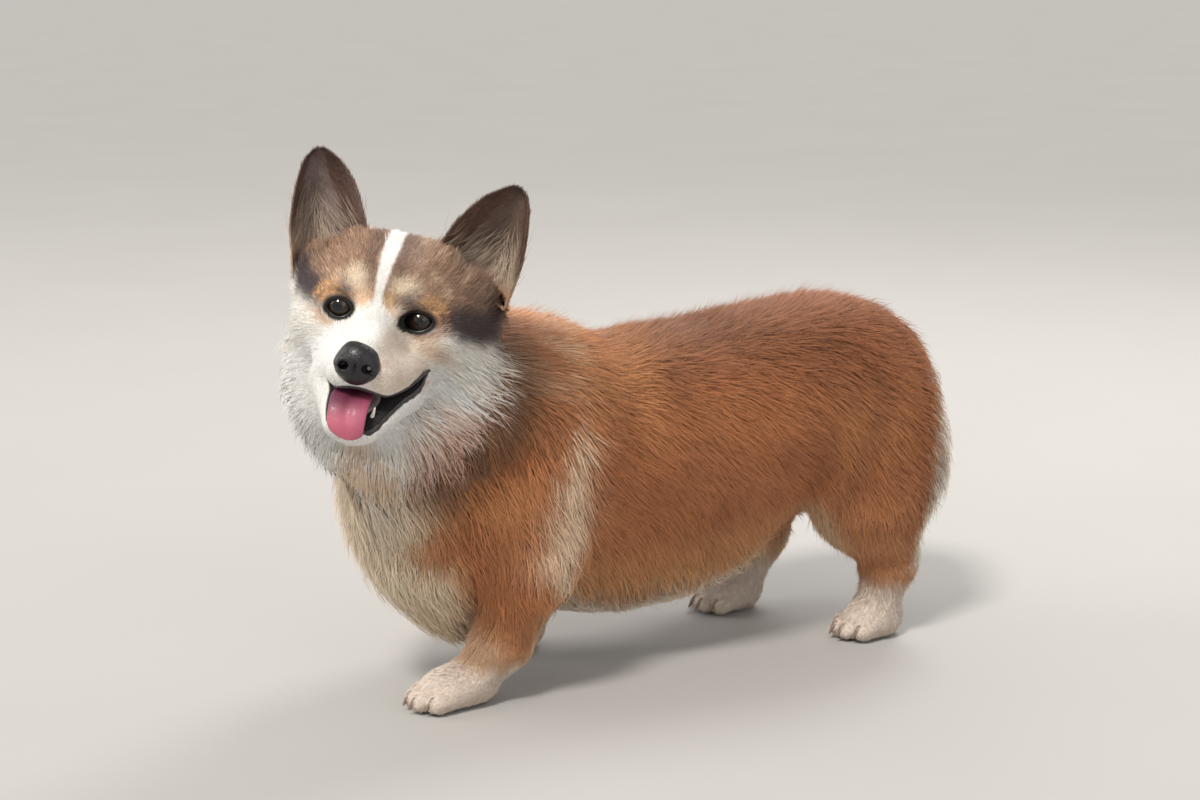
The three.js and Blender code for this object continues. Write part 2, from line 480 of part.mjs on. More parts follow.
// feet and legs: name, block that holds the lower leg, height of the wrist or hock cut
const LEGS = {
  foreleg_left: { lo: [34, -262, -5], hi: [130, -96, 84], front: -178, knee: 50, wrist: 44, tilt: -0.35, paw: "forepaw_left" },
  foreleg_right: { lo: [-130, -150, -5], hi: [-33, -38, 80], front: -116, knee: 40, wrist: 42, tilt: 0, paw: "forepaw_right" },
  hindleg_left: { lo: [22, 130, -5], hi: [130, 300, 92], front: 160, knee: 50, wrist: 52, tilt: -0.2, paw: "hindpaw_left" },
  hindleg_right: { lo: [-130, 76, -5], hi: [-24, 236, 92], front: 116, knee: 52, wrist: 52, tilt: -0.2, paw: "hindpaw_right" },
};
for (const [name, L] of Object.entries(LEGS)) {
  // a foot block, narrowed above the knee so that it leaves the belly alone
  const step = (lo, hi, g) => box(lo, hi).subtract(box([lo[0] - 9, lo[1] - 9, L.knee - g], [hi[0] + 9, L.front + g, hi[2] + 9]));
  const hold = step(L.lo, L.hi, 0);
  const inner = L.lo.map((v, i) => v + (i === 0 && L.lo[0] > 0 ? GAP : 0)), outer = L.hi.map((v, i) => v - (i === 2 ? GAP : i === 0 && L.hi[0] < 0 ? GAP : 0));
  const leg = largest(rest.intersect(step(inner, outer, GAP)));
  rest = rest.subtract(hold);
  const mid = (L.lo[1] + L.hi[1]) / 2, n = unit([0, L.tilt, 1]), u = [1, 0, 0], v = cross(n, u);
  const cutAt = [(L.lo[0] + L.hi[0]) / 2, mid, L.wrist];
  const below = (g) => block(add(cutAt, mul(n, -100 + g)), [u, v, n], [120, 160, 100]);
  const lo = [L.lo[0] - 4, L.lo[1], -12], hi = [L.hi[0] + 4, L.hi[1], L.wrist + 34];
  const foot = solid(simplify(polygonise(field, lo, hi, PAW_STEP), PAW_FACES)).subtract(floorCut);
  pieces[name] = largest(leg.subtract(below(GAP / 2)));
  pieces[L.paw] = largest(foot.intersect(step(inner, outer, GAP)).intersect(below(-GAP / 2)));
}
rest = largest(rest);

// trunk along its length: neck above a slanting cut, then chest, barrel, hindquarters, tail
const NECK_BASE = { c: [5, -172, 238], n: [0.03, -0.568, 0.823] };
const above = (g) => block(add(NECK_BASE.c, mul(unit(NECK_BASE.n), 150 + g)), [[1, 0, 0], cross(unit(NECK_BASE.n), [1, 0, 0]), NECK_BASE.n], [200, 130, 150]);
pieces.neck = largest(rest.intersect(above(GAP / 2)));
rest = largest(rest.subtract(above(-GAP / 2)));
const SECTIONS = { chest: [-400, -45], barrel: [-45, 108], hindquarters: [108, 400] };
for (const [name, [a, b]] of Object.entries(SECTIONS)) {
  pieces[name] = largest(rest.intersect(box([-BIG, a + (a > -400 ? GAP : 0), -BIG], [BIG, b, BIG])));
}
const TAIL_CUT = { c: [0, 274, 228], n: [0, 0.93, 0.36] };
{
  const n = unit(TAIL_CUT.n), cap = (g) => block(add(TAIL_CUT.c, mul(n, 40 + g)), [[1, 0, 0], cross(n, [1, 0, 0]), n], [24, 20, 40]);
  const tail = pieces.hindquarters.intersect(cap(GAP));
  if (!tail.isEmpty()) {
    pieces.tail = largest(tail);
    pieces.hindquarters = largest(pieces.hindquarters.subtract(cap(0)));
  }
}

const CANINES = { left: [[13.6, -45, -70], [15.2, -48.5, -57]], right: [[-16.6, -38, -66], [-17.2, -41, -54]] };

// jaw: everything in front of a steep cut that runs down from the corners of the mouth
const JAW_CUT = { top: [MOUTH_HINGE[0] + 3.5, MOUTH_HINGE[1] + 1], foot: [1, -108] };
{
  const v = unit([0, JAW_CUT.foot[0] - JAW_CUT.top[0], JAW_CUT.foot[1] - JAW_CUT.top[1]]);
  const prism = (g) => {
    const a = [0, JAW_CUT.top[0], JAW_CUT.top[1]], off = [0, -g, -2.2 * g], b = add(a, mul(v, 100));
    const [A, B, C, D] = [a, b, [0, -130, b[2]], [0, -130, a[2] + ((-130 - a[1]) * MOUTH_MIDDLE) / FOREFACE.keep]].map((p) => add(p, off));
    const verts = [];
    for (const x of [-52 + g, 52 - g]) for (const p of [A, B, C, D]) verts.push([x, p[1], p[2]]);
    const tris = [[0, 1, 2], [0, 2, 3], [4, 6, 5], [4, 7, 6], [0, 5, 1], [0, 4, 5], [1, 6, 2], [1, 5, 6], [2, 7, 3], [2, 6, 7], [3, 4, 0], [3, 7, 4]];
    let vol = 0;
    for (const t of tris) vol += dot(verts[t[0]], cross(verts[t[1]], verts[t[2]]));
    return solid(worn({ verts, tris: vol < 0 ? tris.map((t) => t.slice().reverse()) : tris }));
  };
  const held = head.intersect(prism(GAP / HEAD_SCALE)).decompose().sort((a, b) => b.volume() - a.volume());
  // the piece whose middle lies below the mouth is the jaw
  const below = held.filter((m) => {
    const b = m.boundingBox(), q = toHead([0, 1, 2].map((i) => (b.min[i] + b.max[i]) / 2));
    return q[2] < -48;
  });
  pieces.lower_jaw = below[0];
  head = largest(head.subtract(prism(0)));
}
const noseAt = (g) => solid(worn(sphere(NOSE.at, NOSE.r.map((r) => r + g), 14, 9)));
const eyeAt = (s, g) => solid(worn(sphere(EYES[s], EYE_R / HEAD_SCALE + g, 12, 9)));
head = head.subtract(noseAt(GAP)).subtract(eyeAt("left", GAP)).subtract(eyeAt("right", GAP)).subtract(solid(worn(tongue(GAP))));
pieces.nose = noseAt(0);
pieces.eye_left = eyeAt("left", 0);
pieces.eye_right = eyeAt("right", 0);
pieces.tongue = solid(worn(tongue(0)));
pieces.lower_jaw = largest(pieces.lower_jaw.subtract(solid(worn(tongue(GAP)))));
for (const s of [1, -1]) {
  const [root, tip] = CANINES[s > 0 ? "left" : "right"], tooth = solid(worn(horn(root, tip, 2.6, 0.7, 0)));
  pieces.lower_jaw = pieces.lower_jaw.add(tooth.subtract(solid(worn(tongue(GAP)))));
}
pieces.lower_jaw = largest(pieces.lower_jaw);
for (const s of ["left", "right"]) {
  const shell = solid(worn(ear(s))).subtract(head);
  const lift = mul(unit(sub(fromHead([EARS[s].med[4][0], 48, 96]), fromHead([EARS[s].med[0][0] * 1.6, 44, 20]))), GAP * 1.6);
  pieces[`ear_${s}`] = largest(shell).translate(lift);
}
pieces.head = largest(head);
pieces.neck = largest(pieces.neck);

// claws: four to a foot, each set into the front of its toe
const CLAW = { r: 2.1, tip: 0.8, length: 9 };
const FEET = { forepaw_left: [54, -192, 11], forepaw_right: [-54, -89, 10.6], hindpaw_left: [60, 200, 10.6], hindpaw_right: [-62, 132, 10.6] };
for (const [paw, [x, y, splay]] of Object.entries(FEET)) {
  for (let i = 0; i < 4; i++) {
    const s = i - 1.5, front = y - (Math.abs(s) < 1 ? 24 : 15) - 8.2, cx = x + s * splay * 1.02;
    const a = [cx, front + 3.4, 12.4], b = [cx, front + 3.4 - CLAW.length * 0.86, 4.2];
    const grown = solid(horn(add(a, mul(unit(sub(a, b)), GAP * 1.4)), b, CLAW.r + GAP, CLAW.tip + GAP, 1.2));
    pieces[paw] = largest(pieces[paw].subtract(grown));
    pieces[`claw_${paw.replace("paw", "")}_${i + 1}`] = solid(horn(a, b, CLAW.r, CLAW.tip, 1.2));
  }
}

// ---------------------------------------------------------------- out
const LOOK = {
  head: [COAT.sable, 0.8], lower_jaw: [COAT.cream, 0.8], tongue: [COAT.tongue, 0.35], nose: [COAT.black, 0.3],
  eye: [COAT.eye, 0.1], ear: [COAT.ear, 0.8], neck: [COAT.red, 0.85], chest: [COAT.red, 0.85], barrel: [COAT.red, 0.85],
  hindquarters: [COAT.red, 0.85], tail: [COAT.red, 0.85], foreleg: [COAT.red, 0.85], hindleg: [COAT.red, 0.85],
  forepaw: [COAT.cream, 0.85], hindpaw: [COAT.cream, 0.85], claw: [COAT.claw, 0.5],
};
let lo = [1e9, 1e9, 1e9], hi = [-1e9, -1e9, -1e9];
for (const m of Object.values(pieces)) {
  const b = m.boundingBox();
  lo = lo.map((v, i) => Math.min(v, b.min[i]));
  hi = hi.map((v, i) => Math.max(v, b.max[i]));
}
const SHIFT = [-(lo[0] + hi[0]) / 2, -(lo[1] + hi[1]) / 2, 0];
const group = new THREE.Group();
for (const [name, m] of Object.entries(pieces)) {
  const mesh = m.translate(SHIFT).getMesh(), n = mesh.numProp;
  const position = new Float32Array((mesh.vertProperties.length / n) * 3);
  for (let i = 0; i < position.length / 3; i++) for (let k = 0; k < 3; k++) position[i * 3 + k] = mesh.vertProperties[i * n + k];
  const geometry = new THREE.BufferGeometry();
  geometry.setAttribute("position", new THREE.BufferAttribute(position, 3));
  geometry.setIndex(new THREE.BufferAttribute(new Uint32Array(mesh.triVerts), 1));
  const [color, roughness] = LOOK[name] ?? LOOK[name.split("_")[0]];
  const out = new THREE.Mesh(geometry, new THREE.MeshStandardMaterial({ color, roughness, metalness: 0 }));
  out.name = name;
  group.add(out);
}
export default group;
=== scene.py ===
# Pembroke welsh corgi, life size: one skin, a coat of solid tufts, eyes, nose, mouth and claws.
# Shapes are worked out in millimetres in the animal's own frame (it faces -Y, its left is +X)
# and put into the part's frame in metres at the end.
import math

import bmesh
import bpy
import numpy as np
from mathutils import Matrix, Vector
from mathutils.kdtree import KDTree


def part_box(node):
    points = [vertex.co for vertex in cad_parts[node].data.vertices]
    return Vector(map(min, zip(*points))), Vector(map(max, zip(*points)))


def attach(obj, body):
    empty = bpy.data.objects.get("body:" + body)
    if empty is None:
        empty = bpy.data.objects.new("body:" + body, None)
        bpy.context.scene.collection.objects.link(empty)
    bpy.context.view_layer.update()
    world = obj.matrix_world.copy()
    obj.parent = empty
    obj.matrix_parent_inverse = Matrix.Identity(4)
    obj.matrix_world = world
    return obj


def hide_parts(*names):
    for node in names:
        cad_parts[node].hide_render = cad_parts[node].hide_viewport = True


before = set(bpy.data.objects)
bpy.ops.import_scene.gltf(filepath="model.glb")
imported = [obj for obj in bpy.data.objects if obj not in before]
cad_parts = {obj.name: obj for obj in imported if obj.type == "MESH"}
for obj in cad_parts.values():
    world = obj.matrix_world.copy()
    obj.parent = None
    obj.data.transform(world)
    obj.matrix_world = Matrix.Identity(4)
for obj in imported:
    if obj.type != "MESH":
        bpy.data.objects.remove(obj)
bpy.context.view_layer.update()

# ------------------------------------------------------------------ driving sizes
SKIN_STEP = 2.5            # sampling of the skin
EYE_R = 10.0               # eyeball radius, head units
HEAD_SCALE = 1.05
HM = np.array([[0.5176, -0.8538, 0.0557], [0.8362, 0.5186, 0.1784], [-0.1812, -0.0458, 0.9824]])
HT = np.array([98.0, -259.5, 323.5])
EYES = {1: np.array([27.5, 8.0, -1.0]), -1: np.array([-28.5, 8.0, -1.0])}
# the visible opening of each eye: inner corner, outer corner (x, z), half height over and under
FISSURE = {1: ((16.2, -3.6), (36.6, 0.4), 7.2, 6.4), -1: ((-19.8, -1.4), (-37.2, -2.4), 7.0, 6.3)}
NOSE_AT = np.array([-2.0, -53.5, -27.5])
TRIS_PER_PIECE = 186000

rng = np.random.default_rng(20)


def dog(q):
    return (np.atleast_2d(q) * HEAD_SCALE) @ HM.T + HT


def head(p):
    return ((np.atleast_2d(p) - HT) @ HM) / HEAD_SCALE


_lo, _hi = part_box("eye_left")
SHIFT = (np.array(_lo) + np.array(_hi)) * 500 - dog(EYES[1])[0]
SHIFT[2] = 0.0


def metres(p):
    return (np.atleast_2d(p) + SHIFT) * 0.001


# ------------------------------------------------------------------ small maths
def clamp(x, a=0.0, b=1.0):
    return np.minimum(b, np.maximum(a, x))


def ss(a, b, x):
    t = clamp((x - a) / (b - a))
    return t * t * (3 - 2 * t)


def unit(v):
    return v / np.maximum(np.linalg.norm(v, axis=-1, keepdims=True), 1e-9)


def smin(a, b, k):
    if k <= 0:
        return np.minimum(a, b)
    h = np.maximum(k - np.abs(a - b), 0) / k
    return np.minimum(a, b) - h * h * k * 0.25


def smax(a, b, k):
    return -smin(-a, -b, k)


def noise(P, size, seed=0.0):
    """Smooth value noise, -1 to 1."""
    X = P / size
    i = np.floor(X)
    f = X - i
    f = f * f * (3 - 2 * f)

    def h(a, b, c):
        s = np.sin(a * 12.9898 + b * 78.233 + c * 37.719 + seed * 19.19) * 43758.5453
        return s - np.floor(s)

    x, y, z = i[:, 0], i[:, 1], i[:, 2]
    c00 = h(x, y, z) * (1 - f[:, 0]) + h(x + 1, y, z) * f[:, 0]
    c10 = h(x, y + 1, z) * (1 - f[:, 0]) + h(x + 1, y + 1, z) * f[:, 0]
    c01 = h(x, y, z + 1) * (1 - f[:, 0]) + h(x + 1, y, z + 1) * f[:, 0]
    c11 = h(x, y + 1, z + 1) * (1 - f[:, 0]) + h(x + 1, y + 1, z + 1) * f[:, 0]
    c0 = c00 * (1 - f[:, 1]) + c10 * f[:, 1]
    c1 = c01 * (1 - f[:, 1]) + c11 * f[:, 1]
    return (c0 * (1 - f[:, 2]) + c1 * f[:, 2]) * 2 - 1


# ------------------------------------------------------------------ rounded masses
GROUPS = {}


def turn(r):
    a, b, c = (math.radians(v) for v in r)
    ca, sa, cb, sb, cc, sc = math.cos(a), math.sin(a), math.cos(b), math.sin(b), math.cos(c), math.sin(c)
    return np.array([
        [cc * cb, cc * sb * sa - sc * ca, cc * sb * ca + sc * sa],
        [sc * cb, sc * sb * sa + cc * ca, sc * sb * ca - cc * sa],
        [-sb, cb * sa, cb * ca]])


def ball(g, c, r, k, rot=(0, 0, 0)):
    GROUPS.setdefault(g, []).append((0, np.array(c, float), np.array(r, float), turn(rot), k))


def bone(g, a, b, ra, rb, k):
    a, b = np.array(a, float), np.array(b, float)
    L = float(np.linalg.norm(b - a))
    s = (ra - rb) / L
    GROUPS.setdefault(g, []).append((1, a, (b - a) / L, L, ra, rb, s / math.sqrt(max(1 - s * s, 1e-6)), k))


def dist(e, P):
    if e[0] == 1:
        _, a, u, L, ra, rb, q, _k = e
        w = P - a
        t = w @ u
        r = np.sqrt(np.maximum((w * w).sum(1) - t * t, 0))
        f = clamp((t + r * q) / L)
        return np.hypot(t - f * L, r) - (ra + (rb - ra) * f)
    _, c, r, m, _k = e
    s = ((P - c) @ m) / r
    k0 = np.sqrt((s * s).sum(1))
    k1 = np.sqrt(((s / r) ** 2).sum(1))
    return k0 * (k0 - 1) / np.maximum(k1, 1e-9)


def ev(g, P):
    d = None
    for e in GROUPS[g]:
        x = dist(e, P)
        d = x if d is None else smin(d, x, e[-1])
    return d


def toes(g, x, y, z, r, splay):
    for i in range(4):
        s = i - 1.5
        bone(g, [x + s * 8, y + 8, z], [x + s * splay, y - (24 if abs(s) < 1 else 15), z - 3], r, r - 0.8, 3)


ball("trunk", [0, -120, 178], [90, 118, 104], 0)
ball("trunk", [0, 30, 188], [94, 185, 92], 30)
ball("trunk", [0, -5, 110], [66, 150, 68], 36)
ball("trunk", [0, 176, 200], [91, 117, 94], 30)
ball("trunk", [0, 100, 192], [70, 80, 90], 30)
ball("trunk", [8, -190, 160], [66, 63, 92], 30)
ball("trunk", [2, -152, 84], [46, 54, 48], 30)
ball("trunk", [0, 268, 226], [19, 22, 17], 14)
bone("neck", [8, -110, 222], [48, -195, 258], 82, 66, 20)
ball("neck", [40, -222, 222], [62, 50, 74], 40)
ball("foreL", [64, -128, 150], [38, 56, 80], 0)
bone("foreL", [63, -122, 118], [58, -145, 50], 38, 24, 20)
bone("foreL", [58, -147, 48], [55, -167, 22], 23, 20, 14)
ball("foreL", [54, -185, 15], [23, 31, 18], 12)
toes("foreL", 54, -192, 12, 10.2, 11)
ball("foreR", [-60, -100, 150], [38, 56, 80], 0)
bone("foreR", [-58, -82, 118], [-56, -70, 48], 36, 23, 20)
bone("foreR", [-56, -70, 46], [-54, -76, 22], 22, 20, 14)
ball("foreR", [-54, -85, 14], [22, 29, 17], 12)
toes("foreR", -54, -89, 12, 10, 10.6)
ball("hindL", [58, 200, 158], [40, 74, 86], 0)
bone("hindL", [60, 207, 110], [62, 221, 66], 44, 25, 30)
bone("hindL", [62, 218, 62], [60, 210, 22], 21.5, 20, 14)
ball("hindL", [60, 204, 14], [22.5, 28, 17], 12)
toes("hindL", 60, 200, 12, 9.8, 10.6)
ball("hindR", [-58, 164, 158], [40, 74, 86], 0)
bone("hindR", [-60, 146, 110], [-62, 166, 66], 42, 25, 30)
bone("hindR", [-62, 166, 62], [-62, 146, 22], 22, 20, 14)
ball("hindR", [-62, 136, 14], [22, 29, 17], 12)
toes("hindR", -62, 132, 12, 9.8, 10.6)
ball("head", [0, 46, 6], [58, 56, 45], 0)
ball("head", [44, 46, -22], [36, 42, 48], 22)
ball("head", [-36, 46, -22], [34, 42, 48], 22)
ball("head", [32, 46, -66], [44, 38, 44], 22)
ball("head", [-26, 46, -66], [42, 38, 44], 22)
ball("head", [2, 48, -88], [50, 42, 44], 22)
ball("head", [0, 20, 13], [32, 26, 26], 14)
bone("head", [-25, 37, 36.5], [28, 37, 37.5], 13.5, 13.5, 16)
bone("head", [0, 12, -26], [0, -46, -30], 31, 19, 18)
bone("head", [0, 2, -8], [0, -54, -17], 13, 10, 10)
bone("head", [0, -44, -75.5], [0, 20, -72], 9, 26, 14)
bone("head", [32.5, -2, -34.5], [14, -49, -37.5], 14, 13.2, 10)
bone("head", [-27, -2, -36], [-11.5, -49, -37], 13, 12, 10)
ball("head", [0, -51, -75.5], [14, 12, 9.5], 8)
bone("head", [32, -20, -46.5], [12, -53, -71.5], 10.5, 8.5, 8)
bone("head", [-26, -20, -46.5], [-12, -52, -71.5], 10, 8.5, 8)
for _s in (1, -1):
    ball("head", [22 * _s, 12, 11], [16, 15, 11], 8)
    ball("head", [38 * _s, 16, -16], [20, 22, 18], 16)
    bone("head", [27 * _s, -8, -52], [6 * _s, -38, -71.5], 13, 9, 12)
    ball("orbit", [29.5 * _s, -6, -1], [13, 9.5, 8.5], 0, (0, 8 * _s, -24 * _s))
LEG_GROUPS = (("foreL", 14), ("foreR", 14), ("hindL", 16), ("hindR", 16))
HINGE_Y, HINGE_Z = -20.0, -33.0


def lip_heights(q):
    """Depth ahead of the corner, height of the upper lip's edge and of the lower lip's edge; the left corner lies further back."""
    x = q[:, 0]
    side = ss(8, 40, x)
    out, corner = HINGE_Y + 6 * side - q[:, 1], HINGE_Z + 1.5 * side
    mid, wide = np.where(x > 0, 25.0, 18.5), np.where(x > 0, 11.0, 9.0)
    flew = 5 * np.exp(-(((np.abs(x) - mid) / wide) ** 2)) * clamp(out / 20)
    drop = (0.87 - 0.05 * side) * out + 0.14 * np.maximum(out - 20, 0)
    return out, corner - 0.3 * out - flew, corner - drop


def shut(q):
    """1 where the far side of the mouth is closed again by its lips."""
    return ss(-18, -27, q[:, 0])


def mouth(q):
    """Negative inside the open mouth; q is before the foreface is shortened."""
    out, top, bottom = lip_heights(q)
    z = q[:, 2]
    return np.maximum(np.maximum((z - top) * 0.95, (bottom - z) * 0.72), -out) + 6 * shut(q)


def unforeface(q):
    r = q.copy()
    m = r[:, 1] < -10
    r[m, 1] = -10 + (r[m, 1] + 10) / 0.86
    return r


def foreface(q):
    r = q.copy()
    m = r[:, 1] < -10
    r[m, 1] = -10 + (r[m, 1] + 10) * 0.86
    return r


for _s, _c in ((1, [53, 52, 8]), (-1, [-52, 50, 8])):
    ball("earroot", _c, [13, 12, 22], 0, (0, 14 * _s, 0))
ball("earroot", [68, 58, 4], [13, 10, 16], 10)


def skull(u, q):
    d = smax(ev("head", u), -ev("orbit", u), 7)
    m = (q[:, 1] > 10) & (np.abs(q[:, 0]) > 25) & (q[:, 2] > -35)
    if m.any():
        d[m] = smin(d[m], ev("earroot", q[m]), 20)
    return d


def head_tips(q):
    u = unforeface(q)
    return smax(skull(u, q), -mouth(u), 3)


def body_parts(P):
    trunk = smin(ev("trunk", P), ev("neck", P), 28)
    legs = np.full(len(P), 60.0)
    d = trunk.copy()
    for g, k in LEG_GROUPS:
        m = P[:, 2] < 262
        m &= (P[:, 0] > -10) if g[-1] == "L" else (P[:, 0] < 10)
        if m.any():
            x = ev(g, P[m])
            d[m] = smin(d[m], x, k)
            legs[m] = np.minimum(legs[m], x)
    return d, trunk, legs


def leg_share(trunk, legs, P):
    return ss(-4, 8, trunk - legs) * ss(150, 105, P[:, 2])


def body_depth(P, share):
    """How thick the coat is over the body, in mm."""
    x, y, z = P.T
    d = 8.5 + 3.5 * ss(-60, -150, y) * ss(150, 210, z)
    d = d + 4.0 * ss(-185, -225, y)
    d = d + 6.5 * ss(105, 60, z) * ss(190, 130, y)
    d = d + 4.5 * ss(215, 268, y) * ss(240, 200, z)
    leg = 1.7 + 2.6 * ss(14, 62, z) + 4.0 * ss(62, 120, z)
    return d * (1 - share) + leg * share


def head_depth(q):
    x, y, z = np.abs(q[:, 0]), q[:, 1], q[:, 2]
    d = 1.1 + 2.6 * ss(0, 40, y)
    d = d + 7.0 * ss(30, 58, x) * ss(0, -28, z)
    d = d + 8.0 * ss(-72, -98, z) * ss(-8, 25, y)
    d = d + 4.0 * ss(40, 66, y) * ss(30, 0, z)
    return d


def almond(q, s, grow=0.0):
    """Distance-like measure to the eye opening, seen from the front."""
    a, b, up, dn = FISSURE[s]
    a, b = np.array(a), np.array(b)
    mid, half = (a + b) / 2, np.linalg.norm(b - a) / 2
    ux = (b - a) / (2 * half)
    if ux[0] < 0:
        ux = -ux
    w = np.stack([q[:, 0], q[:, 2]], 1) - mid
    u = w @ ux
    v = w @ np.array([-ux[1], ux[0]])
    h = np.where(v > 0, up, dn)
    e = (np.abs(u) / (half + grow)) ** 1.9 + (np.abs(v) / (h + grow)) ** 1.9
    return (e ** (1 / 1.9) - 1) * np.minimum(half, h)


def head_skin(q, coat=True):
    u = unforeface(q)
    d = skull(u, q)
    if coat:
        d = d + head_depth(q) / HEAD_SCALE
    near = (q[:, 1] < 26) & (np.abs(q[:, 0]) < 52) & (np.abs(q[:, 2]) < 22)
    if near.any():
        qn, dn = q[near], d[near]
        for s in (1, -1):
            r = np.linalg.norm(qn - EYES[s], axis=1)
            dn = smin(dn, r - (EYE_R + 1.5), 5)
            cut = np.maximum(np.maximum(almond(qn, s), (EYE_R - 1.0) - r), qn[:, 1] - EYES[s][1])
            dn = smax(dn, -cut, 1.0)
        d[near] = dn
    return smax(d, -mouth(u), 1.6)


def coat_tips(P):
    """Surface of the coat at its tips."""
    d, _, _ = body_parts(P)
    m = (P[:, 1] < -60) & (P[:, 2] > 120)
    if m.any():
        d[m] = smin(d[m], head_tips(head(P[m])) * HEAD_SCALE, 16)
    return d


def skin_field(P):
    b, trunk, legs = body_parts(P)
    d = b + body_depth(P, leg_share(trunk, legs, P))
    m = (P[:, 1] < -60) & (P[:, 2] > 120)
    if m.any():
        d[m] = smin(d[m], head_skin(head(P[m])) * HEAD_SCALE, 14)
    return smax(d, 0.7 - P[:, 2], 1.5)


def slope(f, P, e=0.35):
    k = np.array([[1, -1, -1], [-1, -1, 1], [-1, 1, -1], [1, 1, 1]], float)
    g = np.zeros_like(P)
    for v in k:
        g += v * f(P + v * e)[:, None]
    return g / (4 * e)


def settle(f, P, steps=2, most=1.5):
    for _ in range(steps):
        d = f(P)
        g = slope(f, P)
        n2 = np.maximum((g * g).sum(1), 0.15)
        P = P - g * (clamp(d, -most, most) / n2)[:, None]
    return P


# ------------------------------------------------------------------ skin by surface nets
def surface_nets(f, lo, hi, h, coarse=4):
    lo = np.array(lo, float)
    n = (np.ceil((np.array(hi) - lo) / (h * coarse)).astype(int)) * coarse + 1
    c = (n - 1) // coarse
    gc = np.stack(np.meshgrid(*[np.arange(k) for k in c], indexing="ij"), -1).reshape(-1, 3)
    vc = f(lo + (gc + 0.5) * h * coarse).reshape(c)
    near = np.abs(vc) < h * coarse * 1.45
    val = np.full(n, 9.0, np.float32)
    up = np.repeat(np.repeat(np.repeat(np.where(vc < 0, -9.0, 9.0).astype(np.float32), coarse, 0), coarse, 1), coarse, 2)
    val[:-1, :-1, :-1] = up
    mask = np.zeros(n, bool)
    fine = np.repeat(np.repeat(np.repeat(near, coarse, 0), coarse, 1), coarse, 2)
    for a in (0, 1):
        for b in (0, 1):
            for d in (0, 1):
                mask[a:a + fine.shape[0], b:b + fine.shape[1], d:d + fine.shape[2]] |= fine
    idx = np.argwhere(mask)
    out = np.empty(len(idx))
    for i in range(0, len(idx), 400000):
        out[i:i + 400000] = f(lo + idx[i:i + 400000] * h)
    val[mask] = out
    val[0], val[-1], val[:, 0], val[:, -1], val[:, :, 0], val[:, :, -1] = 9, 9, 9, 9, 9, 9
    neg = val < 0
    corners = [(a, b, d) for a in (0, 1) for b in (0, 1) for d in (0, 1)]
    sl = lambda o: tuple(slice(o[k], n[k] - 1 + o[k]) for k in range(3))
    count = np.zeros(n - 1, np.int8)
    for o in corners:
        count += neg[sl(o)]
    cell = np.argwhere((count > 0) & (count < 8))
    ids = np.full(n - 1, -1, np.int64)
    ids[tuple(cell.T)] = np.arange(len(cell))
    cv = np.stack([val[tuple((cell + o).T)] for o in corners], 1).astype(float)
    pts, cnt = np.zeros((len(cell), 3)), np.zeros(len(cell))
    co = np.array(corners, float)
    for i in range(8):
        for j in range(i + 1, 8):
            if np.abs(co[i] - co[j]).sum() != 1:
                continue
            m = (cv[:, i] < 0) != (cv[:, j] < 0)
            t = cv[m, i] / (cv[m, i] - cv[m, j])
            pts[m] += co[i] + (co[j] - co[i]) * t[:, None]
            cnt[m] += 1
    V = lo + (cell + pts / cnt[:, None]) * h
    faces = []
    for ax in range(3):
        o = np.zeros(3, int)
        o[ax] = 1
        a = neg[tuple(slice(1, n[k] - 1) for k in range(3))]
        b = neg[tuple(slice(1 + o[k], n[k] - 1 + o[k]) for k in range(3))]
        e = np.argwhere(a != b) + 1
        flip = neg[tuple(e.T)]
        u, v = [(1, 2), (2, 0), (0, 1)][ax]
        du, dv = np.eye(3, dtype=int)[u], np.eye(3, dtype=int)[v]
        q = np.stack([ids[tuple((e - du - dv).T)], ids[tuple((e - dv).T)], ids[tuple(e.T)], ids[tuple((e - du).T)]], 1)
        q[~flip] = q[~flip][:, ::-1]
        faces.append(q)
    F = np.concatenate(faces)
    F = F[(F >= 0).all(1)]
    return V, F


def biggest(V, F):
    """Keeps the largest connected surface."""
    label = np.arange(len(V))
    while True:
        low = label[F].min(1)
        new = label.copy()
        np.minimum.at(new, F.ravel(), np.repeat(low, F.shape[1]))
        new = new[new]
        if (new == label).all():
            break
        label = new
    keep = label == np.bincount(label[F[:, 0]]).argmax()
    idx = np.cumsum(keep) - 1
    return V[keep], idx[F[keep[F[:, 0]]]]


def make_mesh(name, P, faces, smooth=True, in_mm=True):
    """faces: an array of quads or triangles, or a list of such arrays."""
    me = bpy.data.meshes.new(name)
    P = metres(P) if in_mm else np.asarray(P, float)
    sets = [np.asarray(f) for f in (faces if isinstance(faces, list) else [faces]) if len(f)]
    loops = np.concatenate([f.ravel() for f in sets])
    sizes = np.concatenate([np.full(len(f), f.shape[1]) for f in sets])
    me.vertices.add(len(P))
    me.vertices.foreach_set("co", P.astype(np.float32).ravel())
    me.loops.add(len(loops))
    me.loops.foreach_set("vertex_index", loops.astype(np.int32))
    me.polygons.add(len(sizes))
    starts = np.concatenate([[0], np.cumsum(sizes)[:-1]])
    me.polygons.foreach_set("loop_start", starts.astype(np.int32))
    me.update(calc_edges=True)
    me.polygons.foreach_set("use_smooth", np.full(len(sizes), smooth))
    ob = bpy.data.objects.new(name, me)
    bpy.context.scene.collection.objects.link(ob)
    return ob


def set_colour(ob, rgb, name="Col"):
    at = ob.data.color_attributes.new(name, "FLOAT_COLOR", "POINT")
    c = np.ones((len(rgb), 4), np.float32)
    c[:, :3] = rgb
    at.data.foreach_set("color", c.ravel())


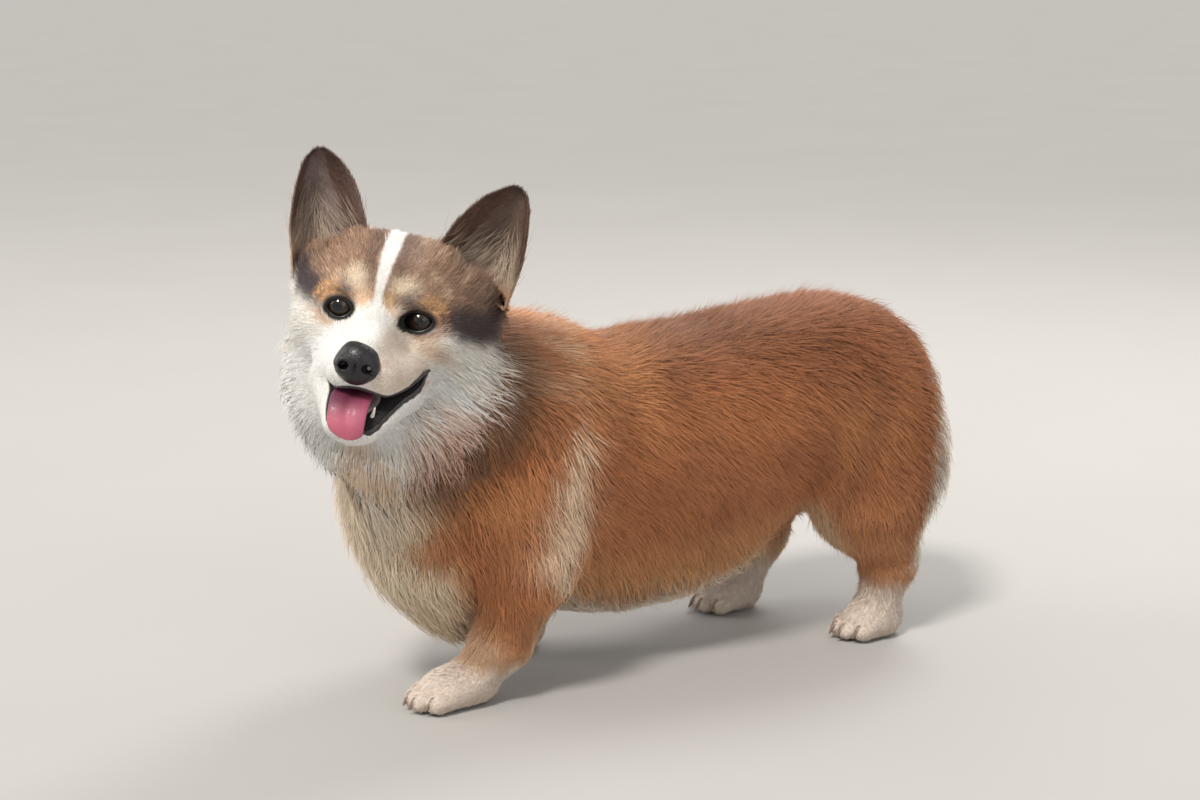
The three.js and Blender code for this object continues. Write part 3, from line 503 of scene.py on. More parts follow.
def normals_of(V, F):
    T = F if F.shape[1] == 3 else np.concatenate([F[:, [0, 1, 2]], F[:, [0, 2, 3]]])
    fn = np.cross(V[T[:, 1]] - V[T[:, 0]], V[T[:, 2]] - V[T[:, 0]])
    n = np.zeros_like(V)
    for k in range(3):
        for i in range(3):
            n[:, i] += np.bincount(T[:, k], fn[:, i], len(V))
    return unit(n)


# ------------------------------------------------------------------ colours
def srgb(r, g, b):
    c = np.array([r, g, b]) / 255.0
    return np.where(c <= 0.04045, c / 12.92, ((c + 0.055) / 1.055) ** 2.4)


RED = srgb(190, 116, 70)
RED_DEEP = srgb(156, 90, 52)
BACK_DARK = srgb(118, 68, 42)
ORANGE = srgb(206, 138, 84)
TAN = srgb(206, 158, 114)
CREAM = srgb(224, 206, 180)
WHITE = srgb(246, 240, 230)
OFF = srgb(236, 224, 208)
SABLE = srgb(158, 126, 104)
SABLE_PALE = srgb(208, 178, 150)
SABLE_DARK = srgb(106, 82, 70)
SLATE = srgb(62, 52, 54)
GREY = srgb(132, 122, 112)
BLACK = srgb(24, 21, 22)


def lay(col, new, m):
    m = clamp(m)[:, None]
    return col * (1 - m) + new * m


def path_x(v, pairs):
    a = np.array(sorted(pairs))
    return np.interp(v, a[:, 0], a[:, 1])


def paint_body(P, N):
    x, y, z = P.T
    w1, w2 = noise(P, 30, 1), noise(P, 11, 2)
    soft = 8 * w1 + 4 * w2
    col = np.tile(RED, (len(P), 1))
    col = lay(col, RED_DEEP, 0.7 * ss(-0.2, 0.8, noise(P, 46, 3)) * ss(120, 170, z))
    col = lay(col, srgb(214, 142, 86), 0.5 * ss(0.0, 0.8, noise(P, 38, 4)))
    # darker saddle, tan lower down, cream at the fringe
    col = lay(col, BACK_DARK, 0.8 * ss(222, 274, z + soft) * ss(-70, -15, y))
    col = lay(col, RED_DEEP, 0.6 * ss(190, 240, z + soft) * ss(60, 150, y))
    col = lay(col, srgb(212, 150, 96), 0.85 * ss(150, 100, z + soft) * ss(-150, -105, y) * ss(158, 118, y))
    col = lay(col, srgb(210, 176, 138), 0.85 * ss(104, 72, z + 0.8 * soft) * ss(-150, -105, y) * ss(160, 120, y))
    col = lay(col, srgb(212, 196, 174), 0.85 * ss(70, 46, z + 0.6 * soft) * ss(-150, -110, y) * ss(160, 120, y))
    col = lay(col, OFF, ss(-0.5, -0.9, N[:, 2]) * ss(110, 80, z) * ss(60, 34, np.abs(x)))
    # thigh: pale front edge and tan lower part
    front = path_x(z, [(70, 176), (92, 164), (110, 150), (131, 138), (150, 130)])
    edge = ss(16, 3, y - front + 0.5 * soft) * ss(80, 96, z) * ss(150, 128, z) * ss(112, 124, y)
    col = lay(col, srgb(214, 186, 152), 0.85 * edge * ss(36, 56, np.abs(x)))
    col = lay(col, srgb(196, 136, 92), 0.6 * ss(165, 105, z + soft) * ss(140, 170, y) * ss(240, 205, y))
    # white trousers behind
    rear = path_x(z, [(70, 226), (82, 232), (117, 243), (187, 246), (219, 254), (240, 262)])
    col = lay(col, OFF, ss(-5, 5, y - rear + 11 + 0.45 * soft) * ss(244, 222, z) * ss(66, 84, z) * (y > 180))
    # pale longer streak behind each shoulder
    yc = path_x(z, [(80, -96), (92, -100), (134, -120), (178, -112), (235, -101), (250, -98)])
    yw = path_x(z, [(80, 7), (134, 19), (178, 18), (235, 9), (250, 5)])
    streak = np.exp(-(((y - yc + 4 * w2) / yw) ** 2)) * ss(250, 222, z) * ss(78, 92, z) * ss(45, 70, np.abs(x))
    col = lay(col, srgb(242, 214, 184), 0.9 * streak)
    # painted shade: dark lines for the shadow in furrows of the coat at the front and the back of the thigh
    for pts, wd, am in (([(130, 146), (155, 155), (200, 168), (255, 191)], 7, 0.5), ([(100, 211), (112, 216), (150, 234), (194, 252)], 6, 0.45)):
        fy = path_x(z, pts)
        on = ss(pts[0][0] - 10, pts[0][0] + 12, z) * ss(pts[-1][0] + 8, pts[-1][0] - 24, z) * ss(30, 60, np.abs(x))
        col = lay(col, srgb(116, 66, 40), am * np.exp(-(((y - fy + 2.5 * w2) / wd) ** 2)) * on)
    # breast and throat
    yb = path_x(z, [(40, -150), (74, -166), (96, -183), (124, -203), (159, -224), (200, -236), (260, -256)])
    col = lay(col, srgb(214, 164, 118), 0.75 * ss(30, 0, y - yb + soft) * ss(240, 190, z))
    col = lay(col, srgb(236, 216, 190), ss(16, -12, y - yb + 0.9 * soft) * ss(262, 225, z))
    col = lay(col, srgb(226, 208, 186), ss(60, 36, np.abs(x - 4)) * ss(74, 54, z) * ss(-100, -130, y))
    # neck: dark behind the cheeks, then brown
    q = head(P)
    hy, hz, hx = q[:, 1], q[:, 2], q[:, 0]
    y0 = path_x(hz, [(-120, 10), (-104, 15), (-88, 18), (-64, 20), (-43, 27), (-22, 35), (-7, 36), (20, 40)])
    y1 = path_x(hz, [(-120, 44), (-110, 48), (-88, 60), (-65, 66), (-37, 74), (-10, 89), (20, 96)])
    t = clamp((hy - y0) / (y1 - y0))
    y0 = y0 + np.where(hx < 0, 11.0, 2.0)
    ruff = ss(-9, 11, hy - y0 + 6 * w2) * ss(1.2, 0.6, (hy - y0) / (y1 - y0) + 0.22 * w2) * ss(-126, -100, hz) * ss(20, 44, np.abs(hx)) * ss(16, -4, hz)
    ruffc = srgb(86, 66, 57) * (1 - t)[:, None] + srgb(136, 92, 62) * t[:, None]
    ruffc = lay(ruffc, srgb(158, 112, 78), 0.6 * ss(0.1, 0.8, noise(P * np.array([1, 0.4, 1]), 6, 41)))
    col = lay(col, ruffc, 0.92 * ruff)
    # top of the neck paler, streaked
    streaks = noise(P * np.array([1, 0.3, 1]), 7, 9)
    col = lay(col, srgb(222, 184, 146), 0.75 * ss(246, 276, z + soft) * ss(-165, -135, y) * ss(-66, -100, y) * ss(-0.5, 0.5, streaks))
    col = lay(col, srgb(214, 150, 100), 0.5 * np.exp(-(((y + 66) / 34) ** 2) - (((z - 256) / 24) ** 2)))
    # legs and white feet
    leg = ss(100, 70, z) * ss(34, 42, np.abs(x))
    sock = np.where(y < 0, 37.0, 56.0)
    col = lay(col, srgb(186, 122, 78), 0.6 * leg * (y < 0))
    # pale hair at the back of the forelegs: partly its own colour, partly a painted highlight where light catches that
    # edge
    back = np.where(y < 0, ss(0.35, 0.9, N[:, 1]), 0.0)
    col = lay(col, srgb(226, 194, 160), 0.8 * leg * back)
    col = lay(col, CREAM, 0.8 * ss(0.3, 0.8, -N[:, 0] * np.sign(x)) * leg)
    lower = ss(24, 0, z - sock) * ss(30, 36, np.abs(x))
    col = lay(col, srgb(206, 160, 120), 0.55 * lower)
    col = lay(col, srgb(226, 210, 196), ss(9, -8, z - sock + 5 * w2 + 4 * w1) * ss(30, 36, np.abs(x)))
    return col * (1 + 0.10 * noise(P, 62, 31) + 0.07 * noise(P, 21, 32))[:, None]


def paint_head(q, N):
    x, y, z = q.T
    ax = np.abs(x)
    w1, w2, w3 = noise(q, 14, 5), noise(q, 5, 6), noise(q, 2.2, 7)
    soft = 2.5 * w1 + 1.5 * w2
    col = np.tile(WHITE, (len(q), 1))
    # lower face and throat greyer and warmer: partly their own cream and tan, partly painted shade under the muzzle and
    # chin
    col = lay(col, srgb(228, 206, 182), 0.75 * ss(-50, -74, z) * ss(46, 22, ax))
    col = lay(col, srgb(216, 180, 146), 0.85 * ss(-74, -98, z + soft) * ss(46, 26, ax))
    # painted shade: the left side of the muzzle a little darker and warmer
    col = lay(col, srgb(226, 208, 190), 0.5 * ss(4, 16, x) * ss(-8, -18, z) * ss(46, 34, x) * (y < 0))
    # sable cap
    line = np.where(x > 0, path_x(ax, [(0, 6), (20, 4), (38, -2), (60, -5), (80, -9), (95, -12)]),
                    path_x(ax, [(0, 6), (20, 4), (38, -1), (55, 2), (72, 4), (90, 0)]))
    cap = ss(-4, 4, z - line + soft)
    streaks = noise(q * np.array([1, 0.35, 0.3]), 2.6, 8)
    sable = lay(np.tile(SABLE, (len(q), 1)), SABLE_PALE, 0.75 * ss(0.0, 0.8, streaks))
    sable = lay(sable, SABLE_DARK, 0.75 * np.exp(-(((np.abs(x + 2) - 10) / 6) ** 2)) * ss(8, 20, z))
    sable = lay(sable, SABLE_DARK, 0.6 * ss(34, 56, ax) * ss(40, 10, z))
    sable = lay(sable, srgb(150, 104, 74), 0.55 * ss(38, 60, y))
    col = col * (1 - cap[:, None]) + sable * cap[:, None]
    # slate band from the outer corner of each eye to the edge of the cheek
    zc = np.where(x > 0, path_x(ax, [(36, 2.5), (58, 1), (78, -3)]), path_x(ax, [(36, 3), (55, 7), (72, 9)]))
    band = np.exp(-(((z - zc) / 9.5) ** 4)) * ss(38, 45, ax) * ss(64, 48, y)
    col = lay(col, SLATE, 0.95 * band)
    front = ss(30, 22, y)

    def patch(col, c, cx, cz, rx, rz, amount, tilt=0.0):
        ca, sa = math.cos(math.radians(tilt)), math.sin(math.radians(tilt))
        u, v = (x - cx) * ca + (z - cz) * sa, -(x - cx) * sa + (z - cz) * ca
        return lay(col, c, amount * np.exp(-(((u / rx) ** 2 + (v / rz) ** 2) ** 1.5)) * front)

    cream, grey, amber, peach = srgb(240, 220, 192), srgb(112, 102, 98), srgb(222, 170, 118), srgb(238, 200, 168)
    # left eye
    col = patch(col, cream, 14, 19, 9.5, 6.5, 0.9, -10)
    col = patch(col, srgb(214, 178, 134), 5.5, 8, 3.2, 8, 0.7)
    col = patch(col, grey, 18, 11.5, 6, 5, 0.85)
    for a0, a1, rr, w, c, am in ((30, 96, 14.2, 2.6, amber, 0.95), (-45, 30, 13.2, 2.2, srgb(176, 122, 84), 0.7)):
        r, ang = np.hypot((x - 27) * 0.92, z + 1.2), np.degrees(np.arctan2(z + 1.2, x - 27))
        col = lay(col, c, am * np.exp(-(((r - rr) / w) ** 2)) * ss(a0 - 12, a0 + 8, ang) * ss(a1 + 12, a1 - 8, ang) * front)
    col = patch(col, srgb(150, 108, 82), 29, -11.5, 12, 3.4, 0.85, 12)
    col = patch(col, srgb(212, 178, 150), 31, -18, 12, 6, 0.55, 12)
    col = patch(col, srgb(198, 170, 148), 38, -20, 10, 6, 0.6)
    col = patch(col, srgb(70, 54, 50), 15, -8, 3.4, 7, 0.85, 22)
    # right eye
    col = patch(col, cream, -19, 19, 8.5, 7.5, 0.85, 12)
    col = patch(col, grey, -24, 12, 5, 4.2, 0.8)
    col = patch(col, peach, -10.5, 6.5, 7, 8.5, 0.9)
    for a0, a1, rr, w, c, am in ((92, 172, 13.6, 2.7, amber, 0.95), (-170, -60, 12.6, 2.3, srgb(180, 138, 98), 0.75)):
        r, ang = np.hypot((x + 28.6) * 0.95, z + 1.8), np.degrees(np.arctan2(z + 1.8, x + 28.6))
        col = lay(col, c, am * np.exp(-(((r - rr) / w) ** 2)) * ss(a0 - 12, a0 + 8, ang) * ss(a1 + 12, a1 - 8, ang) * front)
    col = patch(col, srgb(238, 200, 168), 9.5, -2, 4.5, 8, 0.7)
    for s in (1, -1):
        e = almond(q, s)
        col = lay(col, srgb(60, 42, 34), 0.85 * ss(4.2, 1.4, e) * (y < 14))
    # hair at the roots of the ears
    for c, k, rr in (([44, 30, 38], srgb(196, 172, 148), 7), ([-66, 42, 20], srgb(194, 148, 110), 9)):
        col = lay(col, k, 0.8 * np.exp(-((np.linalg.norm((q - np.array(c)) / np.array([1.0, 1.3, 1.0]), axis=1) / rr) ** 4)))
    # blaze, widening into the white muzzle
    half = np.where(z > 6, 2.4 + 2.8 * ss(8, 46, z), 2.6 + (6 - z) * 1.15)
    blaze = ss(1.3, -1.0, np.abs(x + 1.6 + 0.4 * w2) - half) * ss(60, 50, y)
    col = lay(col, srgb(246, 243, 238), blaze * ss(58, 50, y))
    # painted shade: warm tan down the left side of the bridge and muzzle
    col = lay(col, srgb(222, 196, 170), 0.6 * ss(4, 13, x) * ss(-2, -12, y) * ss(0, -10, z) * ss(-50, -40, z) * ss(44, 34, x))
    # ticking on the left of the muzzle
    tick = ss(6, 14, x) * ss(-6, -16, y) * ss(-8, -14, z) * ss(-44, -38, z)
    col = lay(col, srgb(206, 178, 156), 0.28 * tick * ss(-0.1, 0.6, w3 + 0.5 * w2))
    # rear of the cheeks turns to the dark ruff, crown turns tan behind the ears
    y0 = path_x(z, [(-120, 12), (-104, 15), (-88, 18), (-64, 20), (-43, 27), (-22, 35), (-7, 36), (8, 38)])
    y0 = y0 + np.where(x < 0, 11.0, 2.0)
    back = ss(-9, 13, y - y0 - 62 * ss(54, 26, ax) * ss(-20, -70, z) + 1.7 * soft + 4 * w2) * ss(14, 2, z)
    col = lay(col, lay(np.tile(srgb(96, 74, 60), (len(q), 1)), srgb(146, 104, 76), ss(-0.2, 0.7, streaks)), 0.86 * back)
    col = lay(col, srgb(208, 154, 108), 0.7 * ss(56, 70, y) * ss(-12, 8, z) * (ax > 30))
    return col


def lips_and_mouth_shade(q):
    """1 on the black edges of the lips, and inside the mouth, where the black is painted shade of the mouth's hollow.
    """
    u = unforeface(q)
    m = mouth(u)
    return ss(1.9, 0.9, m) * ss(-8, -16, q[:, 1])


def lip_line(which, n=121):
    """Middle of the black lip along the edge of the mouth, from the right corner to the left, and its radius; head units."""
    out = []
    for th in np.linspace(-math.pi / 2 * 1.02, math.pi / 2 * 1.02, n):
        d = np.array([math.sin(th), -math.cos(th)])
        r = np.linspace(4.0, 66.0, 260)
        x, y = d[0] * r, -19.0 + d[1] * r
        y = np.where(x > 0, y + 6 * ss(8, 40, x), y)
        u = np.stack([x, y, 0 * x], 1)
        _, top, bottom = lip_heights(u)
        u[:, 2] = top + 0.4 if which == "upper" else (bottom - 0.6) * (1 - shut(u)) + top * shut(u)
        k = np.flatnonzero(ev("head", u) + 1.4 < 0)
        out.append(u[k[-1] if len(k) else 0])
    p = foreface(np.array(out))
    for _ in range(4):
        p[1:-1] = (p[:-2] + 2 * p[1:-1] + p[2:]) / 4
    x = p[:, 0]
    if which == "upper":
        rad = 0.22 + 1.0 * ss(-23, -10, x)
        p[:, 2] -= 0.2
    else:
        t = np.linspace(0, 1, n)
        rad = 0.22 + 1.3 * ss(-24, -12, x) + 0.6 * ss(2, 16, x)
        rad = rad * (1 + 0.10 * np.sin(t * 150)) * (1 - 0.6 * ss(0.93, 1.0, t))
        p[:, 2] -= rad * 0.55
    return p, rad


# ------------------------------------------------------------------ build the skin
print("skin")
V, F = surface_nets(skin_field, [-118, -346, -4], [196, 306, 400], SKIN_STEP)
V, F = biggest(V, F)
V = settle(skin_field, V, 2)


def refine(V, F, want):
    """Halves the faces where want(centres) is true; neighbours take the extra edge points."""
    bm = bmesh.new()
    me = bpy.data.meshes.new("t")
    me.from_pydata(V.tolist(), [], F.tolist())
    bm.from_mesh(me)
    bpy.data.meshes.remove(me)
    C = V[F].mean(1)
    pick = np.flatnonzero(want(C))
    bm.faces.ensure_lookup_table()
    edges = {e for i in pick for e in bm.faces[i].edges}
    bmesh.ops.subdivide_edges(bm, edges=list(edges), cuts=1, use_grid_fill=True)
    big = [f for f in bm.faces if len(f.verts) > 4]
    if big:
        bmesh.ops.triangulate(bm, faces=big)
    bm.verts.ensure_lookup_table()
    V2 = np.array([v.co for v in bm.verts])
    quads = [[v.index for v in f.verts] for f in bm.faces if len(f.verts) == 4]
    tris = [[v.index for v in f.verts] for f in bm.faces if len(f.verts) == 3]
    bm.free()
    return V2, np.array(quads), np.array(tris).reshape(-1, 3)


def face_front(C):
    q = head(C)
    return (q[:, 1] < 30) & (q[:, 2] > -95) & (np.abs(q[:, 0]) < 50)


def face_fine(C):
    q = head(C)
    eye = np.minimum(np.linalg.norm(q - EYES[1], axis=1), np.linalg.norm(q - EYES[-1], axis=1)) < 15
    return (eye & (q[:, 1] < 14)) | ((np.abs(mouth(unforeface(q))) < 3.2) & (q[:, 1] < -12))


V, Q, T = refine(V, F, face_front)
V = settle(skin_field, V, 2)
# second, finer pass on eyes and lips, on triangles and quads alike
bm = bmesh.new()
me = bpy.data.meshes.new("t")
me.from_pydata(V.tolist(), [], Q.tolist() + T.tolist())
bm.from_mesh(me)
bpy.data.meshes.remove(me)
bm.faces.ensure_lookup_table()
C = np.array([f.calc_center_median() for f in bm.faces])
edges = {e for i in np.flatnonzero(face_fine(C)) for e in bm.faces[i].edges}
bmesh.ops.subdivide_edges(bm, edges=list(edges), cuts=1, use_grid_fill=True)
bmesh.ops.triangulate(bm, faces=[f for f in bm.faces if len(f.verts) > 4])
V = np.array([v.co for v in bm.verts])
Q = np.array([[v.index for v in f.verts] for f in bm.faces if len(f.verts) == 4])
T = np.array([[v.index for v in f.verts] for f in bm.faces if len(f.verts) == 3]).reshape(-1, 3)
bm.free()
V = settle(skin_field, V, 3)
TRI = np.concatenate([Q[:, [0, 1, 2]], Q[:, [0, 2, 3]], T])
NORM = unit(slope(skin_field, V))
print("skin", len(V), len(TRI))


def where_is(P):
    """Share of each point that belongs to the head, and its place there."""
    q = head(P)
    share = np.zeros(len(P))
    m = (P[:, 1] < -60) & (P[:, 2] > 120)
    if m.any():
        d, _, _ = body_parts(P[m])
        share[m] = ss(-5, 5, d - head_tips(q[m]) * HEAD_SCALE)
    return share, q


def paint(P, N):
    share, q = where_is(P)
    body, face = paint_body(P, N), paint_head(q, N @ HM)
    # throat warm tan: partly its own colour, partly painted shade under the chin
    throat = ss(-82, -98, q[:, 2] + 3 * noise(q, 7, 51)) * ss(42, 24, np.abs(q[:, 0] - 20)) * ss(44, 26, q[:, 1])
    face = lay(face, srgb(222, 188, 154), 0.8 * throat)
    return body * (1 - share[:, None]) + face * share[:, None], share, q


SKIN_COL, share, q = paint(V, NORM)
# black lips and eye rims; inside the mouth the black is painted shade
dark = lips_and_mouth_shade(q) * share
for s in (1, -1):
    dark = np.maximum(dark, ss(2.2, 1.0, almond(q, s)) * (q[:, 1] < 12) * share)
# the skin is painted 20 % darker than the coat over it: painted shade deep under the tufts
SKIN_COL = lay(SKIN_COL * 0.8, BLACK, dark)
inside = ss(-2, -6, mouth(unforeface(q))) * (q[:, 1] < -15)
SKIN_COL = lay(SKIN_COL, srgb(96, 44, 46), 0 * inside)
pads = ss(-0.75, -0.95, NORM[:, 2]) * ss(4, 1.5, V[:, 2])
SKIN_COL = lay(SKIN_COL, srgb(40, 34, 34), pads)
skin = make_mesh("skin", V, [Q, T])
set_colour(skin, SKIN_COL)

# ------------------------------------------------------------------ materials
def material(name):
    m = bpy.data.materials.new(name)
    m.use_nodes = True
    nt = m.node_tree
    return m, nt, nt.nodes["Principled BSDF"]


def add(nt, kind, **kw):
    n = nt.nodes.new(kind)
    for k, v in kw.items():
        setattr(n, k, v)
    return n


def coat_material(name, rough=0.62, grain=900.0, strength=0.16, bump=0.0, sheen=0.1):
    m, nt, bs = material(name)
    at = add(nt, "ShaderNodeAttribute", attribute_name="Col")
    co = add(nt, "ShaderNodeTexCoord")
    nz = add(nt, "ShaderNodeTexNoise")
    nz.inputs["Scale"].default_value = grain
    nz.inputs["Detail"].default_value = 3
    nt.links.new(co.outputs["Object"], nz.inputs["Vector"])
    mp = add(nt, "ShaderNodeMapRange")
    mp.inputs["From Min"].default_value, mp.inputs["From Max"].default_value = 0.3, 0.7
    mp.inputs["To Min"].default_value, mp.inputs["To Max"].default_value = 1 - strength, 1 + strength
    nt.links.new(nz.outputs["Fac"], mp.inputs["Value"])
    mul = add(nt, "ShaderNodeVectorMath", operation="SCALE")
    nt.links.new(at.outputs["Color"], mul.inputs[0])
    nt.links.new(mp.outputs["Result"], mul.inputs["Scale"])
    nt.links.new(mul.outputs["Vector"], bs.inputs["Base Color"])
    bs.inputs["Roughness"].default_value = rough
    bs.inputs["Specular IOR Level"].default_value = 0.3
    bs.inputs["Sheen Weight"].default_value = sheen
    bs.inputs["Sheen Roughness"].default_value = 0.5
    if bump:
        bp = add(nt, "ShaderNodeBump")
        bp.inputs["Strength"].default_value = bump
        bp.inputs["Distance"].default_value = 0.001
        nt.links.new(nz.outputs["Fac"], bp.inputs["Height"])
        nt.links.new(bp.outputs["Normal"], bs.inputs["Normal"])
    return m


SKIN_MAT = coat_material("skin_short_fur", 0.6, 700, 0.2, 0.5, 0.05)
COAT_MAT = coat_material("coat_fur", 0.6, 420, 0.10, 0.0, 0.04)
skin.data.materials.append(SKIN_MAT)

# ------------------------------------------------------------------ roots of the coat
def scatter(V, TRI, density):
    A, B, Cc = V[TRI[:, 0]], V[TRI[:, 1]], V[TRI[:, 2]]
    area = np.linalg.norm(np.cross(B - A, Cc - A), axis=1) / 2
    want = area * density((A + B + Cc) / 3)
    n = np.floor(want + rng.random(len(want))).astype(int)
    t = np.repeat(np.arange(len(TRI)), n)
    u, v = rng.random(len(t)), rng.random(len(t))
    flip = u + v > 1
    u[flip], v[flip] = 1 - u[flip], 1 - v[flip]
    w = np.stack([1 - u - v, u, v], 1)
    return t, w


def mixed(w, TRI, t, A):
    a = A[TRI[t]]
    return (a * w[:, :, None]).sum(1)


def is_bare(q, share):
    b = np.zeros(len(q), bool)
    h = share > 0.5
    b |= h & (mouth(unforeface(q)) < 2.4) & (q[:, 1] < -12)
    for s in (1, -1):
        b |= h & (almond(q, s) < 1.9) & (q[:, 1] < 14)
    nose = (np.linalg.norm((q - NOSE_AT) / np.array([16.0, 13.5, 15.6]), axis=1) < 1.0)
    b |= h & nose
    near = np.flatnonzero(h & (q[:, 1] < 2) & (q[:, 2] < -22))
    for which in ("upper", "lower"):
        p, rad = lip_line(which)
        for i in range(0, len(near), 20000):
            k = near[i:i + 20000]
            gap = np.linalg.norm(q[k][:, None, :] - p[None, ::3, :], axis=2) - rad[None, ::3]
            b[k] |= gap.min(1) < 0.7
    return b


def lie_body(P, N):
    x, y, z = P.T
    side = ss(0.15, 0.85, np.abs(N[:, 0]))
    v = np.stack([0 * x, np.ones(len(P)), -0.3 - 0.75 * side], 1)
    low = (ss(170, 110, z) * side)[:, None]
    v = v * (1 - low) + np.array([0, 0.62, -0.95]) * low
    front = ss(-150, -215, y)[:, None]
    v = v * (1 - front) + np.array([0, 0.16, -1.0]) * front
    sh = (ss(-70, -98, y) * ss(-195, -150, y) * ss(262, 225, z))[:, None]
    v = v * (1 - 0.85 * sh) + np.array([0, 0.25, -1.0]) * 0.85 * sh
    neck = (ss(-95, -130, y) * ss(225, 255, z))[:, None]
    v = v * (1 - neck) + np.array([-0.2, 0.85, -0.5]) * neck
    belly = (ss(120, 80, z) * ss(0.1, -0.5, N[:, 2]))[:, None]
    v = v * (1 - belly) + np.array([0, 0.55, -0.85]) * belly
    th = (ss(110, 175, y) * ss(235, 160, z))[:, None]
    v = v * (1 - 0.8 * th) + np.array([0, 0.42, -1.0]) * 0.8 * th
    br = (ss(222, 258, y) * ss(240, 205, z))[:, None]
    v = v * (1 - br) + np.array([0, 0.42, -0.95]) * br
    leg = (ss(100, 70, z) * ss(36, 44, np.abs(x)))[:, None]
    v = v * (1 - leg) + np.array([0, 0.14, -1.0]) * leg
    # over the foot the hair runs to the toes
    foot = ss(34, 20, z)[:, None] * leg
    v = v * (1 - foot) + np.array([0, -0.9, -0.5]) * foot
    return v


def lie_head(q, N):
    x, y, z = q.T
    d = unit(q - np.array([0, -60.0, -26.0]))
    v = d.copy()
    # up and back over the skull, out and down on the cheeks
    top = ss(8, 26, z)[:, None]
    v = v * (1 - 0.5 * top) + np.stack([x * 0.012, np.full(len(x), 0.75), np.full(len(x), 0.55)], 1) * 0.5 * top
    ch = (ss(30, 56, np.abs(x)) * ss(4, -16, z))[:, None]
    v = v * (1 - ch) + np.stack([np.sign(x) * 0.9, np.full(len(x), 0.55), -0.35 - 0.5 * ss(-20, -80, z)], 1) * ch
    low = ss(-68, -96, z)[:, None]
    v = v * (1 - low) + np.stack([x * 0.012, np.full(len(x), 0.35), np.full(len(x), -0.95)], 1) * low
    return v


def tuft_plan(P, N):
    """Per root: length, share of the coat's depth its tip reaches, half width, lie."""
    share, q = where_is(P)
    b, trunk, legs = body_parts(P)
    ls = leg_share(trunk, legs, P)
    depth = body_depth(P, ls)
    x, y, z = P.T
    L = 21 + 10 * ss(-60, -150, y) * ss(140, 200, z)
    L = L + 8 * ss(-180, -225, y) + 12 * ss(100, 60, z) * ss(190, 130, y) + 12 * ss(225, 262, y) * ss(235, 200, z)
    sh = np.exp(-(((y + 108) / 26) ** 2)) * ss(252, 225, z) * ss(78, 95, z)
    L = L + 8 * sh
    legL = 5.0 + 7 * ss(16, 60, z) + 12 * ss(60, 120, z)
    rear = ss(0.2, 0.8, N[:, 1]) * ss(30, 50, z) * ss(0, -20, y)
    legL = legL + 9 * rear
    L = L * (1 - ls) + legL * ls
    W = 0.58 + 0.0 * x
    W = W * (1 - ls) + (0.42 + 0.24 * ss(20, 90, z)) * ls
    hd = head_depth(q)
    ax = np.abs(q[:, 0])
    hl = 3.6 + 1.6 * ss(-30, 0, q[:, 1]) + 7 * ss(5, 40, q[:, 1]) * ss(-5, 15, q[:, 2])
    hl = hl + 17 * ss(30, 58, ax) * ss(4, -24, q[:, 2]) + 19 * ss(-66, -98, q[:, 2]) * ss(-10, 20, q[:, 1])
    hl = hl + 12 * ss(38, 62, q[:, 1]) * ss(30, 5, q[:, 2])
    hl = np.minimum(hl, 34)
    hw = 0.32 + 0.24 * ss(4, 22, hl)
    L = L * (1 - share) + hl * share
    W = W * (1 - share) + hw * share
    depth = depth * (1 - share) + hd * share
    lie = lie_body(P, N) * (1 - share[:, None]) + (lie_head(q, N @ HM) @ HM.T) * share[:, None]
    return L, W, depth, lie, share, q, ls


def density(C):
    share, q = where_is(C)
    b, trunk, legs = body_parts(C)
    ls = leg_share(trunk, legs, C)
    d = (0.42 + 0.05 * ss(110, 80, C[:, 2])) * (1 - ls) + (0.75 + 0.35 * ss(60, 20, C[:, 2])) * ls
    hd = 2.0 - 1.3 * ss(28, 52, np.abs(q[:, 0])) * ss(4, -20, q[:, 2]) - 0.75 * ss(10, 35, q[:, 1])
    hd = hd - 1.1 * ss(-66, -94, q[:, 2])
    hd = np.maximum(hd, 0.5)
    d = d * (1 - share) + hd * share
    return d


def gather(P, cell):
    """Index, for each root, of the root its lock gathers to."""
    order = rng.permutation(len(P))
    cells = np.floor(P[order] / cell).astype(np.int64)
    key = cells[:, 0] * 1000003 + cells[:, 1] * 1009 + cells[:, 2]
    _, first = np.unique(key, return_index=True)
    keep = order[first]
    kd = KDTree(len(keep))
    for i, k in enumerate(keep):
        kd.insert(P[k], i)
    kd.balance()
    near = np.array([kd.find(p)[1] for p in P])
    return keep, near


